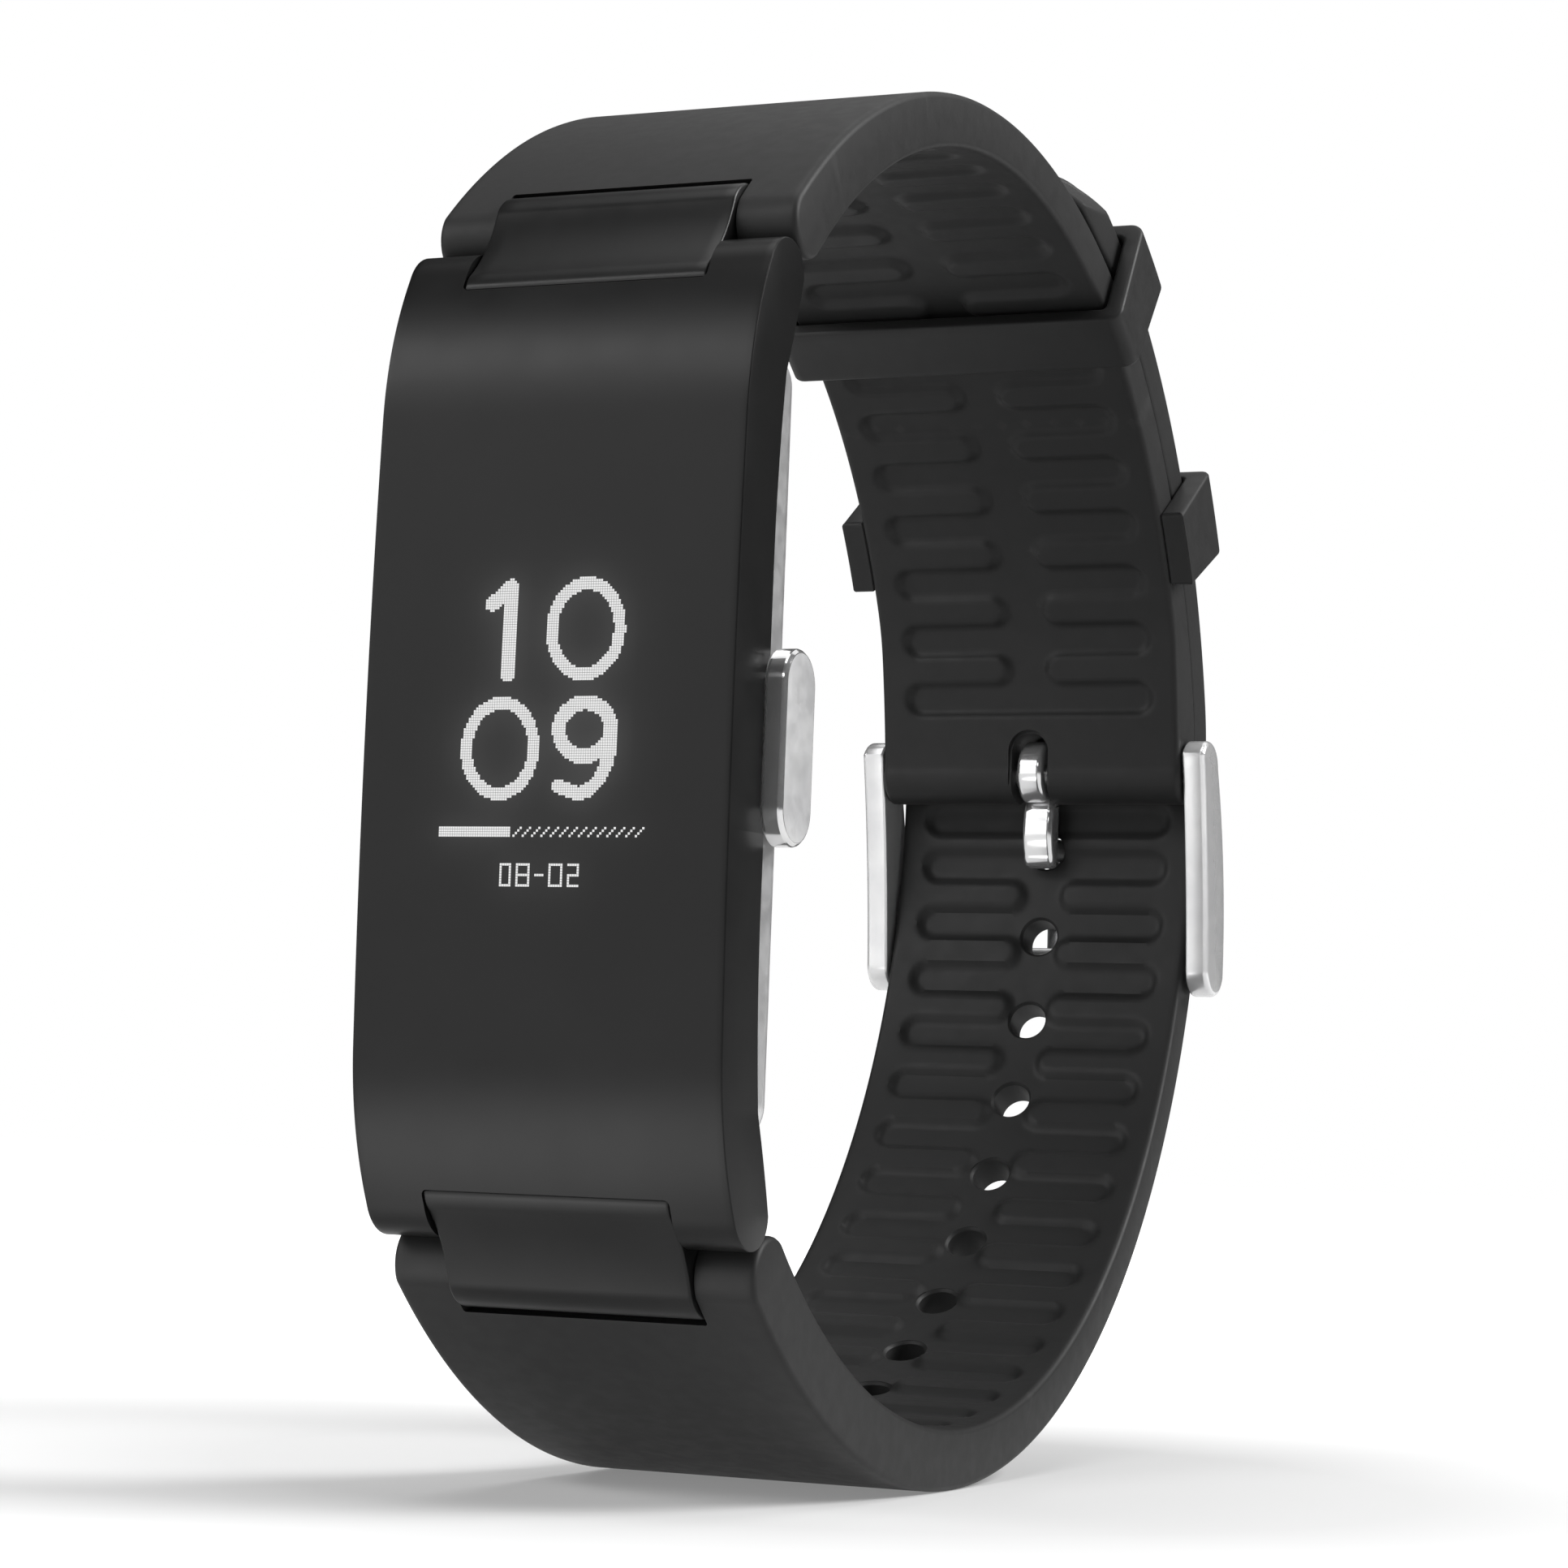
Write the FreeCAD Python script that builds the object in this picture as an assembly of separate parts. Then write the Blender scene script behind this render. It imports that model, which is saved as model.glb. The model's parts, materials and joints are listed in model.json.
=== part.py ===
import FreeCAD, Part
import os
from math import cos, degrees, radians, sin

"""Fitness tracker band: a slim case on a two-piece silicone strap, buckled shut as worn.

Working frame, in millimetres: X runs across the band (the button is on +X), Y runs from the
case's front face back to the buckle, Z runs up along the case. The two spring bars that hold
the strap lie at the same depth, one above and one below the case's middle. At the end every
solid is moved so that the origin is the bottom centre of the whole band's box.
"""

# ---- driving dimensions: case ----
case_half_width = 9.0
case_half_length = 22.25
face_radius = 360.0
shoulder_start = 14.0
shoulder_radius = 16.0
cover_depth = 3.73
lug_depth = 5.8
back_half_width = 8.5
back_half_length = 17.9
back_front = 3.25
seal_front = 2.95
back_rear = 7.0
back_wall = 0.8
bump_rear = 8.2
tongue_half_width = 5.9
notch_half_width = 6.05
notch_start = 20.15

# ---- driving dimensions: strap ----
bar_y = 6.2
bar_z = 23.45
ear_radius = 1.6
knuckle_radius = 1.6
notch_radius = 2.15
strap_half_width = 9.0
lower_half_width = 8.93
wrap_centre = (28.57, -0.71)
contact_radius = 35.63
layer_gap = 0.14
upper_thickness = 2.45
lower_thickness = 2.3
wrap_low_angle = 14.3
tail_angle = 71.0
boss_radius = 1.6
hole_radius = 1.05
hole_pitch = 5.06
holes_below = 8
holes_above = 3
prong_hole_z = 0.0

# Tangent arcs (radius, degrees of turn) that carry each face of the strap on from the wrap circle.
upper_outer_arcs = [(23.5, 5.0), (35.45, 77.2)]
upper_outer_angle = 51.6
upper_inner_arcs = [(30.6, 53.4), (33.05, 32.2)]
upper_inner_angle = 49.5
upper_tip_arcs = [(10.0, 7.8), (34.4, 4.2)]
lower_inner_arcs = [(10.0, 7.8), (34.4, 48.5), (32.9, 91.7)]
lower_outer_arcs = [(13.6, 9.8), (38.05, 45.8), (36.05, 91.5)]

# ---- driving dimensions: keepers ----
fixed_keeper_angles = (27.3, 34.7)
free_keeper_angles = (53.0, 59.6)
keeper_wall = 0.85
keeper_side_wall = 1.3
keeper_gap = 0.16

# ---- driving dimensions: spring bars, buckle and prong ----
tube_radius = 0.68
tube_bore = 0.5
pin_radius = 0.46
pin_tip_radius = 0.36
pin_hole_radius = 0.42
spring_pitch = 0.8
lug_tube_half = 5.75
lug_tip_reach = 7.3
buckle_tube_half = 8.85
buckle_tip_reach = 10.1
arm_inner = 9.12
arm_width = 1.32
crossbar_radius = 0.65
prong_half_width = 1.0
prong_slot_half = 1.4
prong_knuckle_radius = 1.25
prong_neck_radius = 0.7

# ---- driving dimensions: button ----
button_y = 4.98
button_z = -0.3
button_face = (2.9, 8.5)
button_chamfer = 0.4
button_inner = 8.93
button_outer = 9.95
stem_radius = 0.6
stem_clearance = 0.04


# ---------------------------------------------------------------- drawing helpers
def vec(x, y, z):
    return FreeCAD.Vector(x, y, z)


def point(yz):
    return vec(0, yz[0], yz[1])


def box(x0, x1, y0, y1, z0, z1):
    return Part.makeBox(x1 - x0, y1 - y0, z1 - z0, vec(x0, y0, z0))


def cylinder_x(radius, x0, x1, y, z):
    return Part.makeCylinder(radius, x1 - x0, vec(x0, y, z), vec(1, 0, 0))


def cylinder_y(radius, y0, y1, x, z):
    return Part.makeCylinder(radius, y1 - y0, vec(x, y0, z), vec(0, 1, 0))


def line(a, b):
    return Part.LineSegment(point(a), point(b)).toShape()


def arc(a, middle, b):
    return Part.Arc(point(a), point(middle), point(b)).toShape()


def prism(edges, half_width):
    """Solid between -half_width and +half_width from a closed outline in the Y-Z plane."""
    wire = Part.Wire(Part.__sortEdges__(edges))
    solid = Part.Face(wire).extrude(vec(2 * half_width, 0, 0))
    solid.translate(vec(-half_width, 0, 0))
    return solid


def polygon_prism(points, half_width):
    corners = [point(p) for p in points]
    wire = Part.makePolygon(corners + corners[:1])
    solid = Part.Face(wire).extrude(vec(2 * half_width, 0, 0))
    solid.translate(vec(-half_width, 0, 0))
    return solid


def rounded_plate(half_x, half_z, y0, y1, corner, x=0.0, z=0.0):
    """Plate in the X-Z plane with rounded corners."""
    plate = box(x - half_x, x + half_x, y0, y1, z - half_z, z + half_z)
    edges = [e for e in plate.Edges if abs(e.BoundBox.YLength - (y1 - y0)) < 1e-6]
    return plate.makeFillet(corner, edges)


def mirrored_z(shape):
    return shape.mirror(vec(0, 0, 0), vec(0, 0, 1))


def mirrored_x(shape):
    return shape.mirror(vec(0, 0, 0), vec(1, 0, 0))


def wrap_point(radius, angle):
    """Point at an angle in degrees on a circle about the wrap's centre."""
    return (
        wrap_centre[0] + radius * cos(radians(angle)),
        wrap_centre[1] + radius * sin(radians(angle)),
    )


def wrap_arc(radius, low_angle, high_angle):
    middle = wrap_point(radius, (low_angle + high_angle) / 2)
    return arc(wrap_point(radius, low_angle), middle, wrap_point(radius, high_angle))


def chain(radius, angle, turn, arcs):
    """Tangent arcs that leave the wrap circle at an angle; turn is +1 for rising angles, -1 for falling.

    Returns each arc as (centre, radius, start angle, end angle), with angles about its own centre.
    """
    start = wrap_point(radius, angle)
    out = []
    for arc_radius, sweep in arcs:
        centre = (
            start[0] - arc_radius * cos(radians(angle)),
            start[1] - arc_radius * sin(radians(angle)),
        )
        end_angle = angle + turn * sweep
        out.append((centre, arc_radius, angle, end_angle))
        angle = end_angle
        start = on_circle(centre, arc_radius, angle)
    return out


def on_circle(centre, radius, angle):
    return (centre[0] + radius * cos(radians(angle)), centre[1] + radius * sin(radians(angle)))


def chain_edges(arcs):
    edges = []
    for centre, radius, a, b in arcs:
        middle = on_circle(centre, radius, (a + b) / 2)
        edges.append(arc(on_circle(centre, radius, a), middle, on_circle(centre, radius, b)))
    return edges


def chain_end(arcs):
    centre, radius, _, b = arcs[-1]
    return on_circle(centre, radius, b)


def walk(arcs, distance):
    """Point and outward direction at a distance along a chain of arcs."""
    for centre, radius, a, b in arcs:
        length = radius * radians(abs(b - a))
        if distance <= length:
            angle = a + degrees(distance / radius) * (1 if b > a else -1)
            return on_circle(centre, radius, angle), angle
        distance -= length
    return on_circle(centre, radius, b), b


# ---------------------------------------------------------------- strap lines
upper_outer = chain(contact_radius, upper_outer_angle, 1, upper_outer_arcs)
upper_inner_radius = contact_radius - upper_thickness
upper_inner = chain(upper_inner_radius, upper_inner_angle, 1, upper_inner_arcs)
upper_tip = chain(contact_radius, wrap_low_angle, -1, upper_tip_arcs)
lower_inner_radius = contact_radius + layer_gap
lower_outer_radius = lower_inner_radius + lower_thickness
lower_inner = chain(lower_inner_radius, wrap_low_angle, -1, lower_inner_arcs)
lower_outer = chain(lower_outer_radius, wrap_low_angle, -1, lower_outer_arcs)
tip_centre, tip_arc_radius, _, tip_angle = upper_tip[-1]
buckle_axis = on_circle(tip_centre, tip_arc_radius - boss_radius, tip_angle)


def ear_end(sign):
    """Far side of the strap's rounded ear, facing the case."""
    reach = ear_radius * sin(radians(45))
    return (bar_y - reach, sign * (bar_z - reach))


def fork_notch(sign):
    """Cut between the two ears that leaves room for the case's tongue."""
    return cylinder_x(notch_radius, -notch_half_width, notch_half_width, bar_y, sign * bar_z)


def ear_holes(sign):
    right = cylinder_x(pin_hole_radius, notch_half_width - 1, lug_tip_reach + 0.3, bar_y, sign * bar_z)
    return right.fuse(mirrored_x(right))


def upper_strap():
    flare = chain(upper_inner_radius, 25.0, -1, [(12.0, 13.0), (60.0, 6.0)])
    boss_outer = chain_end(upper_tip)
    boss_low = (buckle_axis[0], buckle_axis[1] - boss_radius)
    edges = [
        wrap_arc(contact_radius, wrap_low_angle, upper_outer_angle),
        wrap_arc(upper_inner_radius, 25.0, upper_inner_angle),
        arc(chain_end(upper_outer), ear_end(1), chain_end(upper_inner)),
        arc(boss_outer, boss_low, chain_end(flare)),
    ]
    for arcs in (upper_outer, upper_inner, upper_tip, flare):
        edges += chain_edges(arcs)
    strap = prism(edges, strap_half_width)
    strap = strap.cut(fork_notch(1)).cut(ear_holes(1))
    strap = strap.cut(cylinder_x(tube_radius + 0.03, -9.5, 9.5, *buckle_axis))
    return strap.cut(prong_slot())


def prong_slot():
    """Slot through the strap's rounded end, where the prong's knuckle turns on the bar."""
    top = buckle_axis[1] + 1.1
    y0 = buckle_axis[0] - 4
    slot = box(-prong_slot_half, prong_slot_half, y0, y0 + 8, buckle_axis[1] - 3, top)
    return slot.fuse(cylinder_y(prong_slot_half, y0, y0 + 8, 0, top))


def lower_strap():
    tip_low = wrap_point(lower_inner_radius, tail_angle)
    tip_high = wrap_point(lower_outer_radius, tail_angle - 4.5)
    tip_middle = wrap_point(lower_outer_radius - 0.75, tail_angle - 1.2)
    edges = [
        wrap_arc(lower_inner_radius, wrap_low_angle, tail_angle),
        wrap_arc(lower_outer_radius, wrap_low_angle, tail_angle - 4.5),
        arc(tip_low, tip_middle, tip_high),
        arc(chain_end(lower_outer), ear_end(-1), chain_end(lower_inner)),
    ]
    edges += chain_edges(lower_inner) + chain_edges(lower_outer)
    strap = prism(edges, lower_half_width)
    strap = strap.cut(fork_notch(-1)).cut(ear_holes(-1)).cut(tail_corners())
    for hole in strap_holes():
        strap = strap.cut(hole)
    return strap


def tail_corners():
    """Material removed to round the tail's tip when seen face on."""
    centre = wrap_point(lower_inner_radius, tail_angle - 12)
    across = radians(tail_angle - 12)
    tool = box(-12, 12, -4, 8, 0, 30)
    round_end = Part.makeCylinder(lower_half_width + 0.6, 12, vec(0, -4, 0), vec(0, 1, 0))
    tool = tool.cut(round_end)
    tool.rotate(vec(0, 0, 0), vec(1, 0, 0), degrees(across))
    tool.translate(point(centre))
    return tool


def strap_holes():
    """Sizing holes through the lower strap, evenly spaced both ways from the prong's hole."""
    start = prong_hole_distance()
    holes = []
    for i in range(holes_below + 1):
        (y, z), angle = walk(lower_inner, start + i * hole_pitch)
        holes.append(radial_hole(y, z, angle))
    step = degrees(hole_pitch / lower_inner_radius)
    first = wrap_low_angle + degrees((hole_pitch - start) / lower_inner_radius)
    for i in range(holes_above):
        angle = first + i * step
        y, z = wrap_point(lower_inner_radius, angle)
        holes.append(radial_hole(y, z, angle))
    return holes


def prong_hole_distance():
    """Length along the strap's inner face from the wrap's low end to the prong's hole."""
    distance = 0.0
    while walk(lower_inner, distance)[0][1] > prong_hole_z:
        distance += 0.05
    return distance


def radial_hole(y, z, angle):
    outward = vec(0, cos(radians(angle)), sin(radians(angle)))
    return Part.makeCylinder(hole_radius, 6, vec(0, y, z) - outward * 2, outward)


# ---------------------------------------------------------------- keepers
def ring_sector(radius0, radius1, angles, half_width):
    low, high = angles
    edges = [
        wrap_arc(radius0, low, high),
        wrap_arc(radius1, low, high),
        line(wrap_point(radius0, low), wrap_point(radius1, low)),
        line(wrap_point(radius0, high), wrap_point(radius1, high)),
    ]
    return prism(edges, half_width)


def long_edges(shape, half_width):
    """Edges that run along the wrap at the outer corners of a keeper."""
    found = []
    for edge in shape.Edges:
        middle = edge.valueAt((edge.FirstParameter + edge.LastParameter) / 2)
        if abs(abs(middle.x) - half_width) < 1e-4 and edge.Curve.TypeId == "Part::GeomCircle":
            found.append(edge)
    return found


def fixed_keeper():
    """Loop moulded onto the upper strap: two side walls and an outer wall over the tail."""
    half = strap_half_width + keeper_side_wall
    outer = lower_outer_radius + keeper_gap + keeper_wall
    shell = ring_sector(upper_inner_radius + 0.1, outer, fixed_keeper_angles, half)
    shell = shell.makeFillet(0.5, long_edges(shell, half))
    room_upper = ring_sector(upper_inner_radius - 1, contact_radius + 0.02, (20, 40), strap_half_width)
    room_lower = ring_sector(contact_radius, lower_outer_radius + keeper_gap, (20, 40), strap_half_width)
    return shell.cut(room_upper.fuse(room_lower))


def free_keeper():
    """Loose ring round both layers of strap; it slides along the wrap."""
    half = strap_half_width + keeper_gap + 1.0
    inner = upper_inner_radius - keeper_gap - keeper_wall - 0.1
    outer = lower_outer_radius + keeper_gap + keeper_wall
    ring = ring_sector(inner, outer, free_keeper_angles, half)
    ring = ring.makeFillet(0.8, long_edges(ring, half))
    room = ring_sector(
        upper_inner_radius - keeper_gap - 0.1,
        lower_outer_radius + keeper_gap,
        (45, 70),
        strap_half_width + keeper_gap,
    )
    return ring.cut(room)


# ---------------------------------------------------------------- case
def shoulder_point(z):
    """Depth of the front face at a height z beyond the flat middle, on the shoulder arc."""
    tilt = shoulder_start / face_radius
    y0 = face_radius - (face_radius**2 - shoulder_start**2) ** 0.5
    centre_z = shoulder_start - shoulder_radius * sin(tilt)
    centre_y = y0 + shoulder_radius * cos(tilt)
    return centre_y - (shoulder_radius**2 - (z - centre_z) ** 2) ** 0.5


def cover_outline():
    """Outline of the cover: long shallow face, shoulders, and ends that bend back to the lugs."""
    start_y = face_radius - (face_radius**2 - shoulder_start**2) ** 0.5
    shoulder_end = 20.9
    end_y = shoulder_point(shoulder_end)
    edges = [arc((start_y, -shoulder_start), (0, 0), (start_y, shoulder_start))]
    for s in (1, -1):
        middle_z = (shoulder_start + shoulder_end) / 2
        edges.append(
            arc(
                (start_y, s * shoulder_start),
                (shoulder_point(middle_z), s * middle_z),
                (end_y, s * shoulder_end),
            )
        )
        edges.append(arc((end_y, s * shoulder_end), (3.05, s * 21.95), (4.2, s * case_half_length)))
        edges.append(arc((4.2, s * case_half_length), (5.32, s * 21.82), (lug_depth, s * 20.7)))
        edges.append(arc((lug_depth, s * 20.7), (5.25, s * 18.9), (4.3, s * 16.3)))
        edges.append(arc((4.3, s * 16.3), (3.92, s * 12.6), (cover_depth, s * 8.0)))
    edges.append(line((cover_depth, 8.0), (cover_depth, -8.0)))
    return edges


def front_cover():
    cover = prism(cover_outline(), case_half_width)
    cover = cover.cut(rounded_plate(8.55, 17.95, seal_front, 9.0, 2.0))
    cover = cover.cut(rounded_plate(7.5, 17.0, 1.1, 5.0, 1.0))
    for s in (1, -1):
        z0, z1 = sorted((s * 16.0, s * 24.0))
        cover = cover.cut(box(-notch_half_width, notch_half_width, 1.95, 8.0, z0, z1))
        z0, z1 = sorted((s * notch_start, s * 24.0))
        cover = cover.cut(box(-notch_half_width, notch_half_width, -1.0, 8.0, z0, z1))
    return cover.cut(button_relief())


def button_relief():
    width, height = button_face
    half_y = width / 2 + button_chamfer + 0.12
    half_z = height / 2 + button_chamfer + 0.12
    return pill(half_y, half_z, button_inner - 0.5, button_outer + 1)


def pill(half_y, half_z, x0, x1):
    """Pill seen from the side: round ends top and bottom, flat sides."""
    reach = half_z - half_y
    body = box(x0, x1, button_y - half_y, button_y + half_y, button_z - reach, button_z + reach)
    for s in (1, -1):
        body = body.fuse(cylinder_x(half_y, x0, x1, button_y, button_z + s * reach))
    return body.removeSplitter()


def mid_frame():
    """Inner frame that carries the electronics and ends in the two tongues of the lugs."""
    frame = rounded_plate(7.4, 16.9, 2.02, 3.15, 0.9)
    frame = frame.cut(rounded_plate(6.3, 15.2, 1.5, 4.0, 0.8))
    for s in (1, -1):
        frame = frame.fuse(tongue(s))
        frame = frame.cut(cylinder_x(tube_radius + 0.03, -6.5, 6.5, bar_y, s * bar_z))
    return frame.removeSplitter().cut(seal_ring(0.05))


def tongue(s):
    """Tongue of one lug: a saddle that leaves the cover and wraps over the spring bar."""
    front_in = (2.02, s * 15.5)
    front_out = (2.02, s * (notch_start + 0.05))
    tilt = radians(152)
    rise = (bar_y + knuckle_radius * cos(tilt), s * (bar_z + knuckle_radius * sin(tilt)))
    saddle = (3.45, s * 22.0)
    top = (bar_y, s * (bar_z + knuckle_radius))
    rear = (bar_y + knuckle_radius, s * bar_z)
    heel = (bar_y + 0.4, s * 20.4)
    foot = (bar_y + 0.1, s * 18.15)
    shelf = (3.15, s * 18.15)
    edges = [
        line(front_in, front_out),
        arc(front_out, saddle, rise),
        arc(rise, on_circle((bar_y, s * bar_z), knuckle_radius, s * 120), top),
        arc(top, on_circle((bar_y, s * bar_z), knuckle_radius, s * 45), rear),
        line(rear, heel),
        line(heel, foot),
        line(foot, shelf),
        line(shelf, (3.15, s * 15.5)),
        line((3.15, s * 15.5), front_in),
    ]
    return prism(edges, tongue_half_width)


def case_back():
    shell = rounded_plate(back_half_width, back_half_length, back_front, back_rear, 2.0)
    rear = [e for e in shell.Edges if e.BoundBox.YMin > back_rear - 1e-4]
    shell = shell.makeFillet(1.3, rear)
    inner_x = back_half_width - back_wall
    inner_z = back_half_length - back_wall
    shell = shell.cut(rounded_plate(inner_x, inner_z, back_front - 1, back_rear - back_wall, 1.3))
    shell = shell.fuse(rounded_plate(5.6, 6.6, back_rear - back_wall, bump_rear, 5.4))
    rim = [e for e in shell.Edges if e.BoundBox.YMin > bump_rear - 1e-4]
    shell = shell.makeFillet(0.5, rim)
    shell = shell.cut(rounded_plate(4.2, 5.2, back_rear - 2, bump_rear + 1, 4.1))
    shell = shell.cut(cylinder_x(stem_radius + stem_clearance, 7, 10, button_y, button_z))
    shell = shell.cut(cylinder_x(1.0, 7.98, 8.32, button_y, button_z))
    for x in (-2.2, 2.2):
        shell = shell.cut(cylinder_y(0.8, 5, 8, x, -12.8))
    return shell


def seal_ring(spread):
    """Ring of the seal, or with a spread the groove that the seal lies in."""
    ring = rounded_plate(8.4 + spread, 17.8 + spread, seal_front + 0.01 - spread, back_front - 0.01, 1.9)
    return ring.cut(rounded_plate(7.8 - spread, 17.2 - spread, seal_front - 1, back_front + 1, 1.3))


def case_seal():
    """Foam gasket squeezed between the cover's ledge and the back's rim."""
    return seal_ring(0)


def display_panel():
    return rounded_plate(6.6, 13.5, 1.22, 1.9, 0.4)


def display_tape():
    tape = rounded_plate(6.6, 13.5, 1.12, 1.2, 0.4)
    return tape.cut(rounded_plate(5.6, 12.3, 1, 2, 0.4))


def display_flex():
    """Thin ribbon that folds from the display's lower edge round to the circuit board."""
    flex = box(-2.5, 2.5, 1.94, 2.04, -14.9, -11.0)
    flex = flex.fuse(box(-2.5, 2.5, 1.94, 2.2, -14.9, -14.75))
    return flex.removeSplitter()


def main_board():
    return rounded_plate(6.1, 15.0, 2.22, 2.82, 0.6)


def processor_chip():
    return box(-2.4, 2.4, 2.84, 3.5, 4.6, 9.4)


def antenna_chip():
    return box(-5.4, -4.2, 2.84, 3.6, 4.2, 8.6)


def battery():
    pack = box(-5.6, 5.6, 3.75, 6.05, -15.2, 2.6)
    edges = [e for e in pack.Edges if abs(e.BoundBox.ZLength - 17.8) < 1e-6]
    return pack.makeFillet(0.9, edges)


def battery_pad():
    return box(-4.6, 4.6, 3.5, 3.72, -14.0, 1.0)


def motor_can():
    can = cylinder_x(1.2, -5.0, 1.0, 4.9, 12.0)
    return can.fuse(cylinder_x(0.5, 1.0, 1.3, 4.9, 12.0)).cut(cylinder_x(0.26, -1, 2, 4.9, 12.0))


def motor_cradle():
    cradle = box(-4.6, 0.6, 3.55, 5.2, 10.4, 13.6)
    return cradle.cut(cylinder_x(1.22, -6, 2, 4.9, 12.0)).cut(box(-6, 2, 4.9, 6, 10.9, 13.1))


def motor_weight():
    """Half disc on the motor's shaft; turning it off centre makes the case buzz."""
    shaft = cylinder_x(0.22, -0.8, 3.6, 4.9, 12.0)
    disc = cylinder_x(1.15, 1.6, 3.6, 4.9, 12.0)
    disc = disc.cut(box(1, 4, 4.9, 7, 10, 14))
    return disc.fuse(cylinder_x(0.45, 1.6, 3.6, 4.9, 12.0)).fuse(shaft).removeSplitter()


def sensor_board():
    return rounded_plate(3.8, 4.7, 6.3, 6.7, 3.6)


def sensor_leds():
    upper = box(-0.8, 0.8, 6.72, 7.3, 2.0, 3.4)
    return Part.makeCompound([upper, mirrored_z(upper)])


def photodiode():
    return box(-1.2, 1.2, 6.72, 7.2, -1.2, 1.2)


def sensor_window():
    """Clear window that closes the sensor's opening and stands a little proud of the bump."""
    window = rounded_plate(4.1, 5.1, 7.4, bump_rear + 0.5, 4.0)
    rim = [e for e in window.Edges if e.BoundBox.YMin > bump_rear + 0.4]
    return window.makeFillet(0.45, rim)


def charging_contacts():
    contacts = []
    for x in (-2.2, 2.2):
        contact = cylinder_y(0.75, 6.1, back_rear + 0.03, x, -12.8)
        flange = cylinder_y(1.1, 6.08, 6.19, x, -12.8)
        contacts.append(contact.fuse(flange))
    return Part.makeCompound([c.removeSplitter() for c in contacts])


# ---------------------------------------------------------------- button
def button_cap():
    width, height = button_face
    cap = pill(width / 2 + button_chamfer, height / 2 + button_chamfer, button_inner, button_outer)
    face = [e for e in cap.Edges if e.BoundBox.XMin > button_outer - 1e-4]
    cap = cap.makeChamfer(button_chamfer, face)
    stem = cylinder_x(stem_radius, 6.72, button_inner + 0.2, button_y, button_z)
    groove = cylinder_x(stem_radius + 0.2, 7.3, 7.52, button_y, button_z)
    groove = groove.cut(cylinder_x(stem_radius - 0.15, 7.0, 8.0, button_y, button_z))
    return cap.fuse(stem).cut(groove).removeSplitter()


def button_clip():
    """Open spring clip in the stem's groove; it stops the button from coming out."""
    clip = cylinder_x(1.15, 7.33, 7.49, button_y, button_z)
    clip = clip.cut(cylinder_x(stem_radius - 0.14, 7, 8, button_y, button_z))
    return clip.cut(box(7, 8, button_y - 0.35, button_y + 0.35, button_z, button_z + 2))


def button_seal():
    seal = Part.makeTorus(0.8, 0.17, vec(8.15, button_y, button_z), vec(1, 0, 0))
    return seal


def tact_switch():
    body = box(5.75, 6.45, button_y - 1.2, button_y + 1.0, button_z - 1.7, button_z + 1.7)
    return body.cut(cylinder_x(0.62, 6.0, 7.0, button_y, button_z))


def switch_plunger():
    return cylinder_x(0.58, 6.45, 6.7, button_y, button_z)


# ---------------------------------------------------------------- spring bars
def bar_tube(half, y, z):
    tube = cylinder_x(tube_radius, -half, half, y, z)
    tube = tube.cut(cylinder_x(tube_bore, -half + 0.3, half - 0.3, y, z))
    return tube.cut(cylinder_x(pin_tip_radius + 0.04, -half - 1, half + 1, y, z))


def bar_pin(half, reach, y, z):
    """Right-hand pin of a spring bar: a fat end kept in the tube and a thin tip that sticks out."""
    collar = half - 0.35
    pin = cylinder_x(pin_radius, collar - 2.4, collar, y, z)
    tip = cylinder_x(pin_tip_radius, collar - 0.1, reach, y, z)
    return pin.fuse(tip).removeSplitter()


def bar_spring(half, y, z):
    """Coil that pushes the two pins apart."""
    wire = 0.11
    mean = tube_bore - wire - 0.05
    length = 2 * (half - 2.85) - 2 * wire
    pitch = length / round(length / spring_pitch)
    helix = Part.makeHelix(pitch, length, mean)
    section = Part.Wire(Part.makeCircle(wire, vec(mean, 0, 0), vec(0, 1, 0)))
    coil = Part.Wire(helix).makePipeShell([section], True, True)
    coil.rotate(vec(0, 0, 0), vec(0, 1, 0), 90)
    coil.translate(vec(-length / 2, y, z))
    return coil


# ---------------------------------------------------------------- buckle
def buckle_arm_outline():
    """Side view of one arm: gently bowed, rounded at both ends."""
    y, z = buckle_axis
    top_front = (y - 1.35, z + 1.2)
    top_rear = (y + 1.55, z + 0.6)
    bow_front = (y - 0.3, z - 4.6)
    bow_rear = (y + 3.05, z - 4.9)
    low_front = (y + 0.4, z - 11.2)
    low_rear = (y + 3.5, z - 11.3)
    return [
        arc(top_front, (y - 0.1, z + 2.0), top_rear),
        arc(top_rear, bow_rear, low_rear),
        arc(low_rear, (y + 1.9, z - 12.4), low_front),
        arc(low_front, bow_front, top_front),
    ]


def buckle_frame():
    arm = prism(buckle_arm_outline(), arm_width / 2)
    outer_edges = [e for e in arm.Edges if e.BoundBox.XMin > arm_width / 2 - 1e-4]
    arm = arm.makeFillet(0.22, outer_edges)
    arm.translate(vec(arm_inner + arm_width / 2, 0, 0))
    arm = arm.cut(cylinder_x(pin_hole_radius, arm_inner - 1, buckle_tip_reach + 0.15, *buckle_axis))
    y, z = crossbar_centre()
    bar = cylinder_x(crossbar_radius, -arm_inner - 0.3, arm_inner + 0.3, y, z)
    return arm.fuse(bar).fuse(mirrored_x(arm))


def crossbar_centre():
    """Axis of the cross-bar, which lies just outside the lower strap between the arms' low ends."""
    (y, z), angle = walk(lower_outer, prong_hole_distance() + 6.6)
    clear = crossbar_radius + 0.08
    return (y + clear * cos(radians(angle)), z + clear * sin(radians(angle)))


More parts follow.
